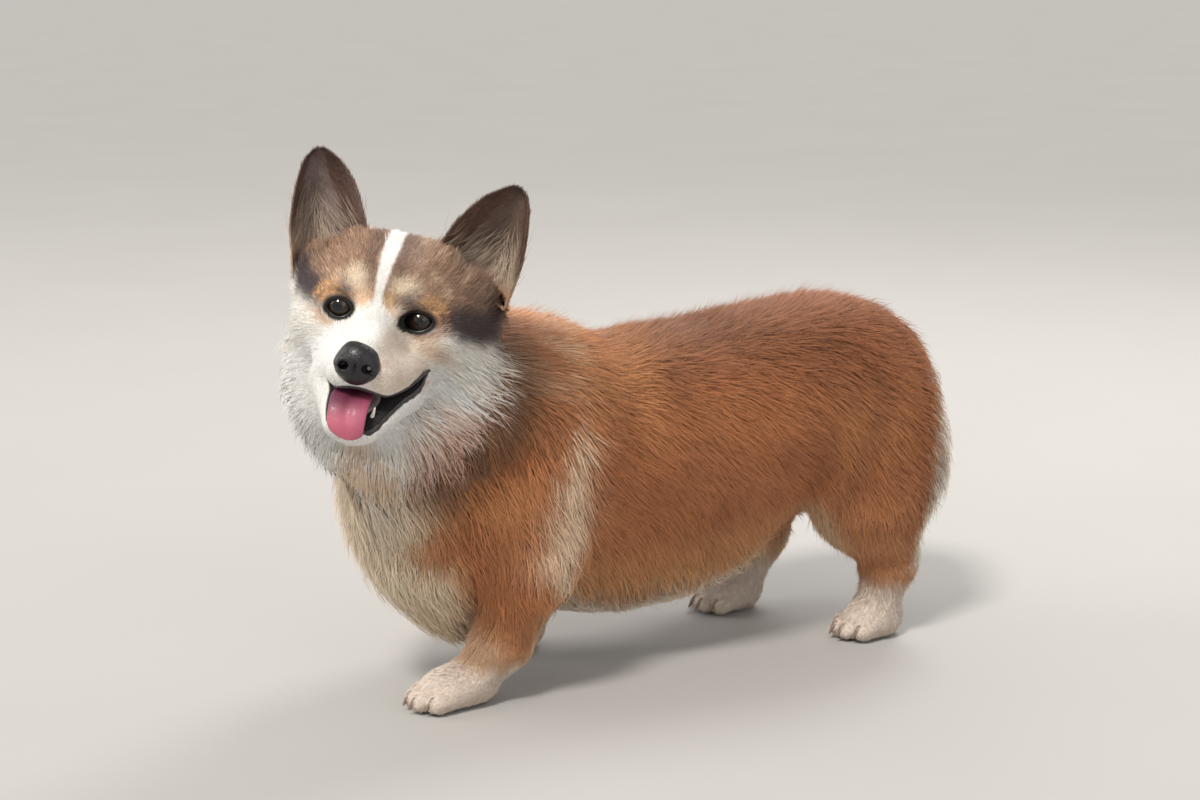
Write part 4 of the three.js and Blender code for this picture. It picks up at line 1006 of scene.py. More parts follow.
def spindles(P, N, T, L, W, depth, reach, col_root, col_tip, clump=0.35, cell=9.0, levels=3, curl=0.0, floor=0.35, follow=True, tone_by=0.06):
    """Closed tapering tufts. levels 2: widest at the root; 3: root, one ring, tip; 4: two rings."""
    n = len(P)
    B = unit(np.cross(N, T))
    tone = np.zeros(n)
    pull = np.zeros_like(P)
    if n > 50:
        keep, near = gather(P, cell)
        ci = keep[near]
        pull = P[ci] - P
        T = unit(T * 0.6 + T[ci] * 0.4)
        B = unit(np.cross(N, T))
        tone = rng.normal(0, 1, len(keep))[near]
        reach = reach * (1 + 0.18 * clamp(rng.normal(0, 1, len(keep)), -1.6, 1.2)[near])
    steps = {2: [0.04, 1.0], 3: [0.34, 1.0], 4: [0.24, 0.62, 1.0]}[levels]
    rise = {2: [0.0, 1.0], 3: [0.62, 1.0], 4: [0.5, 0.86, 1.0]}[levels]
    pts = []
    side = rng.normal(0, 1, n) * curl
    for s, r in zip(steps, rise):
        X = P + T * (L * s)[:, None] + B * (side * L * s * s)[:, None] + pull * (clump * s ** 1.3)
        if follow:
            f = coat_tips(X)
            want = -depth + (depth * reach) * r - (0.8 if levels == 2 and s < 0.1 else 0.0)
            d = clamp(want - f, -14, 16)
            X = X + N * d[:, None]
        else:
            X = X + N * (depth * reach * r)[:, None]
        pts.append(X)
    root = P - N * 0.9
    ring_at = pts[:-1]
    tip = pts[-1]
    VV = [] if levels == 2 else [root]
    prev = root
    for k, X in enumerate(ring_at):
        nxt = pts[k + 1]
        ax = unit(nxt - prev)
        b = unit(np.cross(N, ax))
        up = unit(np.cross(ax, b))
        w = W * (1.0 if k == 0 else 0.72)
        VV += [X + up * (w * 0.75)[:, None], X - b * w[:, None] - up * (w * 0.35)[:, None], X + b * w[:, None] - up * (w * 0.35)[:, None]]
        prev = X
    VV.append(tip)
    m = len(VV)
    A = np.stack(VV, 1)                     # n, m, 3
    A[:, :, 2] = np.maximum(A[:, :, 2], floor)
    if m == 4:
        base = np.array([[0, 2, 1], [3, 0, 1], [3, 1, 2], [3, 2, 0]])
    elif m == 5:
        base = np.array([[0, 2, 1], [0, 3, 2], [0, 1, 3], [4, 1, 2], [4, 2, 3], [4, 3, 1]])
    else:
        base = np.array([[0, 2, 1], [0, 3, 2], [0, 1, 3],
                         [1, 2, 5], [1, 5, 4], [2, 3, 6], [2, 6, 5], [3, 1, 4], [3, 4, 6],
                         [7, 4, 5], [7, 5, 6], [7, 6, 4]])
    tri = (base[None] + (np.arange(n) * m)[:, None, None]).reshape(-1, 3)
    # colours: root to tip
    ts = {4: [0.0] * 3, 5: [0.0] + [0.4] * 3, 8: [0.0] + [0.3] * 3 + [0.65] * 3}[m] + [1.0]
    col = np.stack([col_root * (1 - t) + col_tip * t for t in ts], 1)
    tonev = (1 + tone_by * tone + 0.07 * rng.normal(0, 1, n))
    col = col * clamp(tonev, 0.62, 1.4)[:, None, None]
    # normals: mostly the body's, partly the tuft's own roundness
    NN = [] if m == 4 else [N]
    for k in range(len(ring_at)):
        b = unit(np.cross(N, T))
        NN += [N, unit(N - b * 0.42), unit(N + b * 0.42)]
    NN.append(unit(N + T * 0.3))
    NN = np.stack(NN, 1)
    return A.reshape(-1, 3), tri, col.reshape(-1, 3), NN.reshape(-1, 3), m


def bake_map(P, N):
    """Place of each root on an unwrap of the skin: six flattened sides, each single-layered in its piece."""
    k = np.abs(N).argmax(1)
    c = k * 2 + (N[np.arange(len(N)), k] > 0)
    uv = np.zeros((len(P), 2))
    for i in range(6):
        m = c == i
        if not m.any():
            continue
        a, b = [(1, 2), (0, 2), (0, 1)][i // 2]
        w = P[m][:, [a, b]]
        lo, hi = w.min(0), w.max(0)
        t = (w - lo) / np.maximum(hi - lo, 1e-6)
        cell = np.array([(i % 3) / 3, (i // 3) / 2])
        uv[m] = cell + 0.008 + t * (np.array([1 / 3, 1 / 2]) - 0.016)
    return uv


def coat_piece(name, parts, mat=None):
    """parts: list of (verts, tris, colours, normals, verts per tuft, uv of the roots)."""
    Vs, Ts, Cs, Ns, Us, off = [], [], [], [], [], 0
    for A, tri, col, nn, m, uv in parts:
        Vs.append(A); Ts.append(tri + off); Cs.append(col); Ns.append(nn)
        off += len(A)
        if m == 4:
            o = np.array([[0, -1.0], [-1.4, -1.3], [1.4, -1.3], [0, 1.5]])
        elif m == 5:
            o = np.array([[0, -1.4], [0, -0.4], [-1.3, -0.2], [1.3, -0.2], [0, 1.5]])
        else:
            o = np.array([[0, -1.5], [0, -0.7], [-1.3, -0.6], [1.3, -0.6], [0, 0.4], [-1.0, 0.5], [1.0, 0.5], [0, 1.5]])
        Us.append((uv[:, None, :] + o[None] * 0.001).reshape(-1, 2))
    Vs, Ts, Cs, Ns, Us = map(np.concatenate, (Vs, Ts, Cs, Ns, Us))
    ob = make_mesh(name, Vs, Ts)
    set_colour(ob, np.clip(Cs, 0, 1))
    ob.data.normals_split_custom_set_from_vertices(Ns.tolist())
    uvl = ob.data.uv_layers.new(name="OFBake")
    uvl.data.foreach_set("uv", Us[Ts.ravel()].astype(np.float32).ravel())
    ob.data.materials.append(mat or COAT_MAT)
    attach(ob, "root")
    return ob


print("coat")
t_, w_ = scatter(V, TRI, density)
P = mixed(w_, TRI, t_, V)
N = unit(mixed(w_, TRI, t_, NORM))
L, W, depth, lie, share, q, ls = tuft_plan(P, N)
bare = is_bare(q, share) | ((N[:, 2] < -0.8) & (P[:, 2] < 6))
keep = ~bare
P, N, L, W, depth, lie, share, q, ls = (a[keep] for a in (P, N, L, W, depth, lie, share, q, ls))
n = len(P)
# lie: flow, slow bends and a little scatter
body = 1 - share
swirl = np.stack([noise(P, 30, 11), noise(P, 30, 12), noise(P, 30, 13)], 1) * 0.26
swirl += np.stack([noise(P, 11, 14), noise(P, 11, 15), noise(P, 11, 16)], 1) * (0.24 * body * (1 - ls))[:, None]
fine = rng.normal(0, 1, (n, 3)) * (0.17 - 0.09 * share)[:, None]
T = unit(lie) + swirl + fine
T = T - N * (T * N).sum(1)[:, None]
T = unit(T)
L = L * (0.72 + 0.5 * rng.random(n))
reach = 0.35 + 0.75 * rng.random(n) ** 0.8
# fine ends that stand out of the coat and soften its outline
stray = rng.random(n) < 0.09 * body * (1 - 0.6 * ls) + 0.02 * share * ss(8, 16, L)
reach = np.where(stray, 1.25 + 0.6 * rng.random(n), reach)
W = np.where(stray, W * 0.6, W)
fringe = ss(226, 250, P[:, 1]) * ss(236, 214, P[:, 2]) * ss(60, 84, P[:, 2]) * body
fringe = np.maximum(fringe, ss(84, 60, P[:, 2]) * ss(150, 130, P[:, 1]) * ss(-150, -120, P[:, 1]) * body * (1 - ls))
fringe = np.maximum(fringe, ss(74, 56, P[:, 2]) * ss(-120, -140, P[:, 1]) * body * (1 - ls))
reach = reach * (1 + 0.45 * fringe)
up_lie = (L * (0.75 * body + 0.5 * share * (1 - 0.75 * ss(34, 48, np.abs(q[:, 0])) * ss(0, -12, q[:, 2]))) + 2.0 * share * (q[:, 2] > -8) * (np.abs(q[:, 0]) > 12)) * rng.random(n)
for s in (1, -1):
    a, b = np.array([24.0 * s, 36, 38]), np.array([80.0 if s > 0 else -70.0, 42, 12 if s > 0 else 6])
    ba = b - a
    h = clamp(((q - a) @ ba) / (ba @ ba))
    g = ss(17, 8, np.linalg.norm(q - a - h[:, None] * ba, axis=1)) * share * (q[:, 1] < 50)
    reach = reach * (1 + 1.1 * g)
    L = L + 4.5 * g
    upw = unit(np.array([0.42 * s, 0.1, 1.0])) @ HM.T
    T = unit(T * (1 - 0.7 * g[:, None]) + upw * 0.7 * g[:, None])
    T = unit(T - N * ((T * N).sum(1) * 0.8)[:, None])
col, _, _ = paint(P - T * up_lie[:, None], N)
light = ss(0.30, 0.62, col.mean(1))
pale = lay(col, srgb(240, 206, 168), 0.10 * body)
# roots painted darker and tips a little brighter: painted shade deep in the coat, painted light on the tips
root_c = col * (0.76 + 0.08 * share + 0.10 * light)[:, None]
tip_c = pale * (1.08 + 0.04 * light)[:, None]
# dark tips on the back and neck, pale tips elsewhere
darkt = ss(215, 268, P[:, 2]) * ss(-140, -60, P[:, 1]) * body
pick = (rng.random(n) < 0.5) * darkt
tip_c = tip_c * (1 - 0.5 * pick[:, None])
root_c = root_c * (1 + 0.35 * darkt[:, None])
# the cap is a mixture of pale and dark hairs
cap = share * ss(-4, 6, q[:, 2]) * (1 - ss(0.34, 0.5, col.mean(1)))
mix_ = np.exp(rng.normal(0, 0.28, n) * cap)
root_c, tip_c = root_c * mix_[:, None], tip_c * (mix_ ** 1.2)[:, None]
long = (L > 21) & ((share > 0.3) | (P[:, 1] < -170) | (P[:, 2] < 96) | (P[:, 1] > 228) | ((np.abs(P[:, 1] + 108) < 34) & (P[:, 2] < 250)))

# regions of the coat, each with a bake map of its own
region = np.full(n, "side_left", dtype="<U16")
region[P[:, 0] < 0] = "side_right"
region[(P[:, 1] > 120)] = "haunch_left"
region[(P[:, 1] > 120) & (P[:, 0] < 0)] = "haunch_right"
region[(P[:, 1] < -95)] = "fore_left"
region[(P[:, 1] < -95) & (P[:, 0] < 0)] = "fore_right"
region[(share > 0.5)] = "head"
region[(share > 0.5) & (q[:, 1] < 14) & (np.abs(q[:, 0]) < 48)] = "face"
for nm, cond in (("leg_fore_left", (P[:, 0] > 0) & (P[:, 1] < 0)), ("leg_fore_right", (P[:, 0] < 0) & (P[:, 1] < 0)),
                 ("leg_hind_left", (P[:, 0] > 0) & (P[:, 1] > 0)), ("leg_hind_right", (P[:, 0] < 0) & (P[:, 1] > 0))):
    region[(ls > 0.6) & (P[:, 2] < 105) & cond & (share < 0.5)] = nm
total = 0
for name in sorted(set(region)):
    m = region == name
    tri_n = np.where(long[m], 6, 4).sum()
    parts_n = int(math.ceil(tri_n / TRIS_PER_PIECE))
    idx = np.flatnonzero(m)
    if parts_n > 1:
        ax = int(np.ptp(P[idx], axis=0).argmax())
        idx = idx[np.argsort(P[idx, ax], kind="stable")]
        cuts = np.searchsorted(np.cumsum(np.where(long[idx], 6, 4)), np.arange(1, parts_n) * tri_n / parts_n)
        groups = np.split(idx, cuts)
    else:
        groups = [idx]
    for gi, g in enumerate(groups):
        uv = bake_map(P[g], N[g])
        parts = []
        for lv, mm in ((2, ~long[g]), (3, long[g])):
            k = g[mm]
            if len(k) == 0:
                continue
            face = name == "face"
            leg = "leg" in name
            A, tri, cc, nn, m_ = spindles(P[k], N[k], T[k], L[k], W[k], depth[k], reach[k], root_c[k], tip_c[k],
                                          clump=0.1 if face else 0.25 if leg else (0.42 if lv == 2 else 0.55),
                                          cell=3.0 if face else 4.5 if leg else (5.5 if lv == 2 else 6.5),
                                          levels=lv, curl=0.08, tone_by=0.02 if face else 0.05)
            parts.append((A, tri, cc, nn, m_, uv[mm]))
        nm = "coat_" + name + (f"_{gi + 1}" if parts_n > 1 else "")
        ob = coat_piece(nm, parts)
        k = len(ob.data.polygons)
        total += k
        print(nm, k)
print("tufts", n, "triangles", total)

# ------------------------------------------------------------------ ears
EARS = {
    1: ([[24, 36, 38], [31.5, 38, 57], [38.6, 42, 70.4], [49.7, 47, 85], [61.9, 51, 94.1], [70.5, 53, 98.8]],
        [[80, 42, 12], [84, 43, 36.9], [85.6, 45, 54], [85, 48, 74], [82.5, 51, 88.5], [77.5, 53, 96.8]]),
    -1: ([[-20, 36, 40], [-29.2, 40, 62], [-38.8, 46, 79.5], [-50, 50, 91.5], [-59.2, 52, 97.2], [-65.5, 53.5, 99.8]],
         [[-70, 42, 6], [-76.6, 44, 34], [-79, 46, 52], [-79.5, 48, 68], [-78, 51, 86], [-73, 53, 97]])}
EAR_HOLLOW = [30, 31, 26, 17, 9, 4]


def curve(pts, t):
    """Catmull-Rom through pts at t from 0 to 1."""
    p = np.array(pts, float)
    p = np.vstack([2 * p[0] - p[1], p, 2 * p[-1] - p[-2]]) if p.ndim == 2 else np.concatenate([[2 * p[0] - p[1]], p, [2 * p[-1] - p[-2]]])
    k = len(p) - 3
    x = clamp(np.asarray(t, float)) * k
    i = np.minimum(x.astype(int), k - 1)
    f = (x - i)
    f = f[:, None] if p.ndim == 2 else f
    a, b, c, d = p[i], p[i + 1], p[i + 2], p[i + 3]
    return 0.5 * (2 * b + (c - a) * f + (2 * a - 5 * b + 4 * c - d) * f ** 2 + (3 * b - a - 3 * c + d) * f ** 3)


def ear_points(s, t, u, off):
    """Point of the ear: t base to tip, u inner to outer edge, off in front (-) or behind (+) of its middle."""
    m, l = curve(EARS[s][0], t), curve(EARS[s][1], t)
    hollow = curve(EAR_HOLLOW, t)
    w = 4 * u * (1 - u)
    dr = unit(np.array([0.25 * s, 1, -0.12]))
    p = m + (l - m) * u[:, None] + dr * (hollow * (0.25 * w + 0.75 * np.sqrt(w)))[:, None]
    out = unit(dr + unit(l - m) * (1.6 * (u - 0.5))[:, None])
    return p + out * off[:, None], out


def build_ear(s):
    nt, nu = 34, 23
    rings = []
    for i in range(nt):
        t = np.full(nu, i / (nt - 1) * 0.995)
        u = (1 - np.cos(np.linspace(0, math.pi, nu))) / 2
        w = 4 * u * (1 - u)
        th = (2.0 * (0.45 + 0.55 * w)) / 2 * (1 - 0.35 * t)
        f, _ = ear_points(s, t, u, -th)
        b, _ = ear_points(s, t, u, th)
        rings.append(np.concatenate([f, b[::-1]]))
    m = len(rings[0])
    VV = np.concatenate(rings)
    q = []
    for i in range(nt - 1):
        j = np.arange(m)
        a, b = i * m + j, i * m + (j + 1) % m
        q.append(np.stack([a, b, b + m, a + m], 1))
    Qe = np.concatenate(q)
    top, base = VV[-m:].mean(0), VV[:m].mean(0)
    VV = np.vstack([VV, top, base])
    j = np.arange(m)
    Te = np.concatenate([np.stack([(nt - 1) * m + j, (nt - 1) * m + (j + 1) % m, np.full(m, len(VV) - 2)], 1),
                         np.stack([(j + 1) % m, j, np.full(m, len(VV) - 1)], 1)])
    TT = np.concatenate([Qe[:, [0, 1, 2]], Qe[:, [0, 2, 3]], Te])
    vol = np.einsum("ij,ij->i", VV[TT[:, 0]], np.cross(VV[TT[:, 1]], VV[TT[:, 2]])).sum()
    if vol < 0:
        Qe, Te = Qe[:, ::-1], Te[:, ::-1]
    return VV, Qe, Te


def ear_colour(q, s, inner):
    t = clamp((q[:, 2] - 20) / 80)
    w = noise(q, 6, 21)
    if s > 0:
        col = np.tile(srgb(118, 98, 86), (len(q), 1)) if inner else np.tile(srgb(120, 84, 60), (len(q), 1))
        if inner:
            col = lay(col, srgb(206, 184, 160), 0.8 * ss(0.42, 0.1, t + 0.14 * w))
    else:
        col = np.tile(srgb(146, 128, 122), (len(q), 1)) if inner else np.tile(srgb(120, 84, 60), (len(q), 1))
        if inner:
            col = lay(col, srgb(214, 190, 164), 0.75 * ss(0.36, 0.08, t + 0.12 * w))
    if inner:
        edge_in, edge_out = curve([p[0] for p in EARS[s][0]], t), curve([p[0] for p in EARS[s][1]], t)
        e = np.abs((q[:, 0] - edge_in) / (edge_out - edge_in) - 0.5) * 2
        col = lay(col, srgb(96, 66, 52), 0.75 * ss(0.74, 0.95, e) * ss(0.1, 0.3, t))
    col = lay(col, srgb(78, 60, 52), 0.75 * ss(0.72, 0.98, t + 0.05 * w))
    if not inner:
        col = lay(col, srgb(206, 160, 118), 0.5 * ss(0.25, 0.0, t))
    return col


for s, nm in ((1, "left"), (-1, "right")):
    VV, Qe, Te = build_ear(s)
    Pd = dog(VV)
    ear = make_mesh(f"ear_skin_{nm}", Pd, [Qe, Te])
    dr = unit(np.array([0.25 * s, 1, -0.12]))
    TT = np.concatenate([Qe[:, [0, 1, 2]], Qe[:, [0, 2, 3]], Te])
    nn = normals_of(VV, TT)
    front = (nn @ dr) < 0
    c1, c2 = ear_colour(VV, s, True), ear_colour(VV, s, False)
    # ear skin painted 15 % darker: painted shade under its hair
    col = np.where(front[:, None], lay(c1, srgb(176, 130, 118), np.full(len(VV), 0.35)), c2) * 0.85
    set_colour(ear, col)
    ear.data.materials.append(SKIN_MAT)
    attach(ear, "root")
    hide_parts(f"ear_{nm}")
    # hair: front and back faces
    Vd = Pd
    t_, w_ = scatter(Vd, TT, lambda c: np.full(len(c), 0.85))
    Pe = mixed(w_, TT, t_, Vd)
    Ne = unit(mixed(w_, TT, t_, nn @ HM.T))
    qe, nh = head(Pe), Ne @ HM
    inner = (nh @ dr) < 0.0
    up = unit(np.array([EARS[s][0][5][0] - (EARS[s][0][0][0] + EARS[s][1][0][0]) / 2, 12, 70.0]))
    lat = np.array([s * 1.0, 0, 0])
    hgt = clamp((qe[:, 2] - 20) / 80)
    mid = (curve([p[0] for p in EARS[s][0]], hgt) + curve([p[0] for p in EARS[s][1]], hgt)) / 2
    across = (qe[:, 0] - mid) * s
    v = np.where(inner[:, None], up + lat * (0.9 * ss(12, -22, across))[:, None] - lat * 0.25 * ss(5, 20, across)[:, None],
                 up + lat * (across * 0.012)[:, None])
    Te_ = unit(v @ HM.T + rng.normal(0, 0.13, Pe.shape))
    Te_ = unit(Te_ - Ne * (Te_ * Ne).sum(1)[:, None])
    Le = np.where(inner, 5.5 + 5 * ss(0.7, 0.2, hgt), 5.5 + 4 * ss(0.5, 0.0, hgt)) * (0.7 + 0.6 * rng.random(len(Pe)))
    Le = Le * (1 - 0.45 * ss(0.75, 0.98, hgt))
    Le = Le * (0.3 + 0.7 * ss(0.0, 0.1, hgt))
    edge = np.abs(across) > 0.0
    long_in = inner & (rng.random(len(Pe)) < 0.11 * ss(0.6, 0.2, hgt)) & (hgt > 0.03)
    Le = np.where(long_in, Le + 10, Le)
    We = np.where(inner, 0.27, 0.34)
    We = np.where(long_in, 0.2, We)
    He = np.where(inner, 1.0 + 1.6 * rng.random(len(Pe)), 0.5 + 1.0 * rng.random(len(Pe)))
    He = np.where(long_in, 4 + 4 * rng.random(len(Pe)), He)
    ce = np.where(inner[:, None], ear_colour(qe, s, True), ear_colour(qe, s, False))
    ce = lay(ce, srgb(214, 194, 172), 0.55 * long_in + 0.0)
    ce = lay(ce, srgb(198, 150, 110), 0.75 * ss(0.07, 0.0, hgt))
    uv = bake_map(Pe, Ne)
    parts = []
    # ear hair roots painted darker and tips brighter: painted shade deep in the hair
    for lv, mm in ((2, ~long_in), (3, long_in)):
        A, tri, cc, n2, m_ = spindles(Pe[mm], Ne[mm], Te_[mm], Le[mm], We[mm], He[mm], np.ones(mm.sum()), ce[mm] * 0.84, ce[mm] * 1.08,
                                      clump=0.3 if lv == 3 else 0.2, cell=4.0, levels=lv, curl=0.08, follow=False)
        parts.append((A, tri, cc, n2, m_, uv[mm]))
    ob = coat_piece(f"coat_ear_{nm}", parts)
    print(ob.name, len(ob.data.polygons))


# ------------------------------------------------------------------ eyes
def solid_of_turn(rings, name, cap=True):
    """Closed mesh from rings of points (first and last close to a point)."""
    m = len(rings[0])
    VV = np.concatenate(rings)
    j = np.arange(m)
    q = [np.stack([i * m + j, i * m + (j + 1) % m, (i + 1) * m + (j + 1) % m, (i + 1) * m + j], 1) for i in range(len(rings) - 1)]
    Qs = np.concatenate(q)
    VV = np.vstack([VV, rings[0].mean(0), rings[-1].mean(0)])
    a, b, o = len(VV) - 2, len(VV) - 1, (len(rings) - 1) * m
    Ts = np.concatenate([np.stack([(j + 1) % m, j, np.full(m, a)], 1), np.stack([o + j, o + (j + 1) % m, np.full(m, b)], 1)])
    TT = np.concatenate([Qs[:, [0, 1, 2]], Qs[:, [0, 2, 3]], Ts])
    c = VV.mean(0)
    vol = np.einsum("ij,ij->i", VV[TT[:, 0]] - c, np.cross(VV[TT[:, 1]] - c, VV[TT[:, 2]] - c)).sum()
    if vol < 0:
        Qs, Ts = Qs[:, ::-1], Ts[:, ::-1]
    return VV, Qs, Ts


GAZE = {1: unit(np.array([0.20, -1.0, 0.0])), -1: unit(np.array([-0.10, -1.0, 0.0]))}


def eye_material():
    m, nt, bs = material("eye_brown")
    at = add(nt, "ShaderNodeAttribute", attribute_name="Col")
    co = add(nt, "ShaderNodeTexCoord")
    nz = add(nt, "ShaderNodeTexNoise")
    nz.inputs["Scale"].default_value = 1800
    nt.links.new(co.outputs["Object"], nz.inputs["Vector"])
    mp = add(nt, "ShaderNodeMapRange")
    mp.inputs["To Min"].default_value, mp.inputs["To Max"].default_value = 0.8, 1.2
    nt.links.new(nz.outputs["Fac"], mp.inputs["Value"])
    mul = add(nt, "ShaderNodeVectorMath", operation="SCALE")
    nt.links.new(at.outputs["Color"], mul.inputs[0])
    nt.links.new(mp.outputs["Result"], mul.inputs["Scale"])
    nt.links.new(mul.outputs["Vector"], bs.inputs["Base Color"])
    bs.inputs["Roughness"].default_value = 0.08
    bs.inputs["IOR"].default_value = 1.38
    bs.inputs["Coat Weight"].default_value = 0.5
    bs.inputs["Coat Roughness"].default_value = 0.03
    return m


EYE_MAT = eye_material()
for s, nm in ((1, "left"), (-1, "right")):
    g = GAZE[s]
    ux = unit(np.cross(g, [0, 0, 1]))
    uz = np.cross(ux, g)
    rings, n_r, m = [], 56, 56
    for i in range(n_r):
        a = math.pi * (i + 0.35) / (n_r - 0.3)
        ph = np.linspace(0, 2 * math.pi, m, endpoint=False)
        r = EYE_R * (1 + 0.035 * math.exp(-((a / 0.42) ** 4)))      # cornea stands a little proud
        rings.append(EYES[s] + g * (r * math.cos(a)) + (ux * np.cos(ph)[:, None] + uz * np.sin(ph)[:, None]) * (r * math.sin(a)))
    VV, Qs, Ts = solid_of_turn(rings, "eye")
    ob = make_mesh(f"eye_{nm}_ball", dog(VV), [Qs, Ts])
    d = unit(VV - EYES[s])
    ang = np.degrees(np.arccos(clamp(d @ g, -1, 1)))
    ph = np.arctan2(d @ uz, d @ ux)
    fib = 0.5 + 0.5 * np.sin(ph * 34 + 3 * np.sin(ph * 7))
    iris = srgb(36, 25, 19) * (0.7 + 0.5 * fib)[:, None]
    iris = lay(iris, srgb(50, 35, 25), 0.5 * ss(20, 27, ang) * ss(37, 31, ang))
    col = np.tile(srgb(48, 38, 34), (len(VV), 1))
    col = lay(col, srgb(26, 19, 16), ss(64, 50, ang))
    col = col * (1 - ss(50, 42, ang))[:, None] + iris * ss(50, 42, ang)[:, None]
    col = lay(col, srgb(6, 6, 8), ss(21, 19, ang))
    set_colour(ob, col)
    ob.data.materials.append(EYE_MAT)
    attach(ob, "root")
    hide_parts(f"eye_{nm}")


# ------------------------------------------------------------------ wet black rims, lips
def tube(path, radii, sides=10, flat=1.0, up=None):
    """Closed tube along a path with varying radius; flat squeezes it across 'up'."""
    p = np.asarray(path, float)
    d = unit(np.gradient(p, axis=0))
    ref = np.tile(np.array([0, 0, 1.0]), (len(p), 1)) if up is None else up
    a = unit(np.cross(d, ref))
    b = np.cross(a, d)
    ph = np.linspace(0, 2 * math.pi, sides, endpoint=False)
    rings = [p[i] + radii[i] * (a[i] * np.cos(ph)[:, None] + b[i] * np.sin(ph)[:, None] * flat) for i in range(len(p))]
    return solid_of_turn(rings, "tube")


def wet_material(name, base, rough=0.3, bump=0.3, scale=900.0, coat=0.6, vary=0.25):
    m, nt, bs = material(name)
    co = add(nt, "ShaderNodeTexCoord")
    nz = add(nt, "ShaderNodeTexNoise")
    nz.inputs["Scale"].default_value = scale
    nz.inputs["Detail"].default_value = 4
    nt.links.new(co.outputs["Object"], nz.inputs["Vector"])
    mx = add(nt, "ShaderNodeMix", data_type="RGBA")
    mx.inputs[6].default_value = (*(base * (1 - vary)), 1)
    mx.inputs[7].default_value = (*np.minimum(base * (1 + vary), 1), 1)
    nt.links.new(nz.outputs["Fac"], mx.inputs[0])
    nt.links.new(mx.outputs[2], bs.inputs["Base Color"])
    bs.inputs["Roughness"].default_value = rough
    bs.inputs["Coat Weight"].default_value = coat
    bs.inputs["Coat Roughness"].default_value = 0.12
    if bump:
        bp = add(nt, "ShaderNodeBump")
        bp.inputs["Strength"].default_value = bump
        bp.inputs["Distance"].default_value = 0.0006
        nt.links.new(nz.outputs["Fac"], bp.inputs["Height"])
        nt.links.new(bp.outputs["Normal"], bs.inputs["Normal"])
    return m


RIM_MAT = wet_material("lid_rim", srgb(26, 21, 22), 0.35, 0.2, 1500, 0.5)
LIP_MAT = wet_material("lip", srgb(34, 28, 30), 0.35, 0.5, 700, 0.4)
for s, nm in ((1, "left"), (-1, "right")):
    (a, b, up, dn) = FISSURE[s]
    a, b = np.array(a), np.array(b)
    mid, half = (a + b) / 2, np.linalg.norm(b - a) / 2
    ux = (b - a) / (2 * half)
    vx = np.array([-ux[1], ux[0]]) * (1 if ux[0] > 0 else -1)
    th = np.linspace(0, 2 * math.pi, 73)[:-1]
    cu, sv = np.cos(th), np.sin(th)
    e = 2 / 1.9
    U = np.sign(cu) * np.abs(cu) ** e * (half + 0.4)
    Vv = np.sign(sv) * np.abs(sv) ** e * np.where(sv > 0, up + 0.35, dn + 0.35)
    xz = mid + U[:, None] * ux + Vv[:, None] * vx
    rr = EYE_R + 0.75
    dx, dz = xz[:, 0] - EYES[s][0], xz[:, 1] - EYES[s][2]
    dy = np.sqrt(np.maximum(rr * rr - dx * dx - dz * dz, 4.0))
    ring = np.stack([xz[:, 0], EYES[s][1] - dy, xz[:, 1]], 1)
    rad = 0.8 + 0.25 * (Vv < 0) * np.abs(sv)
    inner = np.exp(-(((cu * (1 if (b - a)[0] * s > 0 else -1) + 1) / 0.35) ** 2))   # towards the nose
    rad = rad + 0.7 * inner
    d = unit(np.roll(ring, -1, 0) - np.roll(ring, 1, 0))
    outw = unit(ring - EYES[s])
    bi = unit(np.cross(d, outw))
    ph = np.linspace(0, 2 * math.pi, 10, endpoint=False)
    R = ring[:, None, :] + rad[:, None, None] * (bi[:, None, :] * np.cos(ph)[None, :, None] * 1.25 + outw[:, None, :] * np.sin(ph)[None, :, None] * 0.8)
    nn_, mm_ = R.shape[:2]
    i, j = np.meshgrid(np.arange(nn_), np.arange(mm_), indexing="ij")
    idx = lambda i, j: (i % nn_) * mm_ + (j % mm_)
    Qr = np.stack([idx(i, j), idx(i, j + 1), idx(i + 1, j + 1), idx(i + 1, j)], -1).reshape(-1, 4)
    VV = R.reshape(-1, 3)
    TT = np.concatenate([Qr[:, [0, 1, 2]], Qr[:, [0, 2, 3]]])
    vol = np.einsum("ij,ij->i", VV[TT[:, 0]], np.cross(VV[TT[:, 1]], VV[TT[:, 2]])).sum()
    if vol < 0:
        Qr = Qr[:, ::-1]
    ob = make_mesh(f"eye_{nm}_rim", dog(VV), Qr)
    ob.data.materials.append(RIM_MAT)
    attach(ob, "root")


def build_lip(which):
    p, rad = lip_line(which)
    d = unit(np.gradient(p, axis=0))
    out = unit(np.stack([d[:, 1], -d[:, 0], 0 * d[:, 0]], 1))
    out *= np.sign((out * np.stack([p[:, 0], p[:, 1] + 20, 0 * p[:, 0]], 1)).sum(1))[:, None]
    up = unit(np.cross(d, out))
    up *= np.sign(up[:, 2])[:, None]
    ph = np.linspace(0, 2 * math.pi, 14, endpoint=False)
    thick = 0.55 if which == "lower" else 0.8
    rings = [p[i] + rad[i] * (out[i] * (np.cos(ph) * thick)[:, None] + up[i] * np.sin(ph)[:, None]) for i in range(len(p))]
    return solid_of_turn(rings, "lip")


for which in ("upper", "lower"):
    VV, Qs, Ts = build_lip(which)
    ob = make_mesh(f"lip_{which}", dog(VV), [Qs, Ts])
    ob.data.materials.append(LIP_MAT)
    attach(ob, "root")

# ------------------------------------------------------------------ nose
def blob(q, c, r):
    p = (q - c) / r
    k0 = np.linalg.norm(p, axis=1)
    return k0 * (k0 - 1) / np.maximum(np.linalg.norm(p / r, axis=1), 1e-9)


def groove_between(q, a, b, r):
    pa, ba = q - a, b - a
    h = clamp((pa @ ba) / (ba @ ba))
    return np.linalg.norm(pa - h[:, None] * ba, axis=1) - r


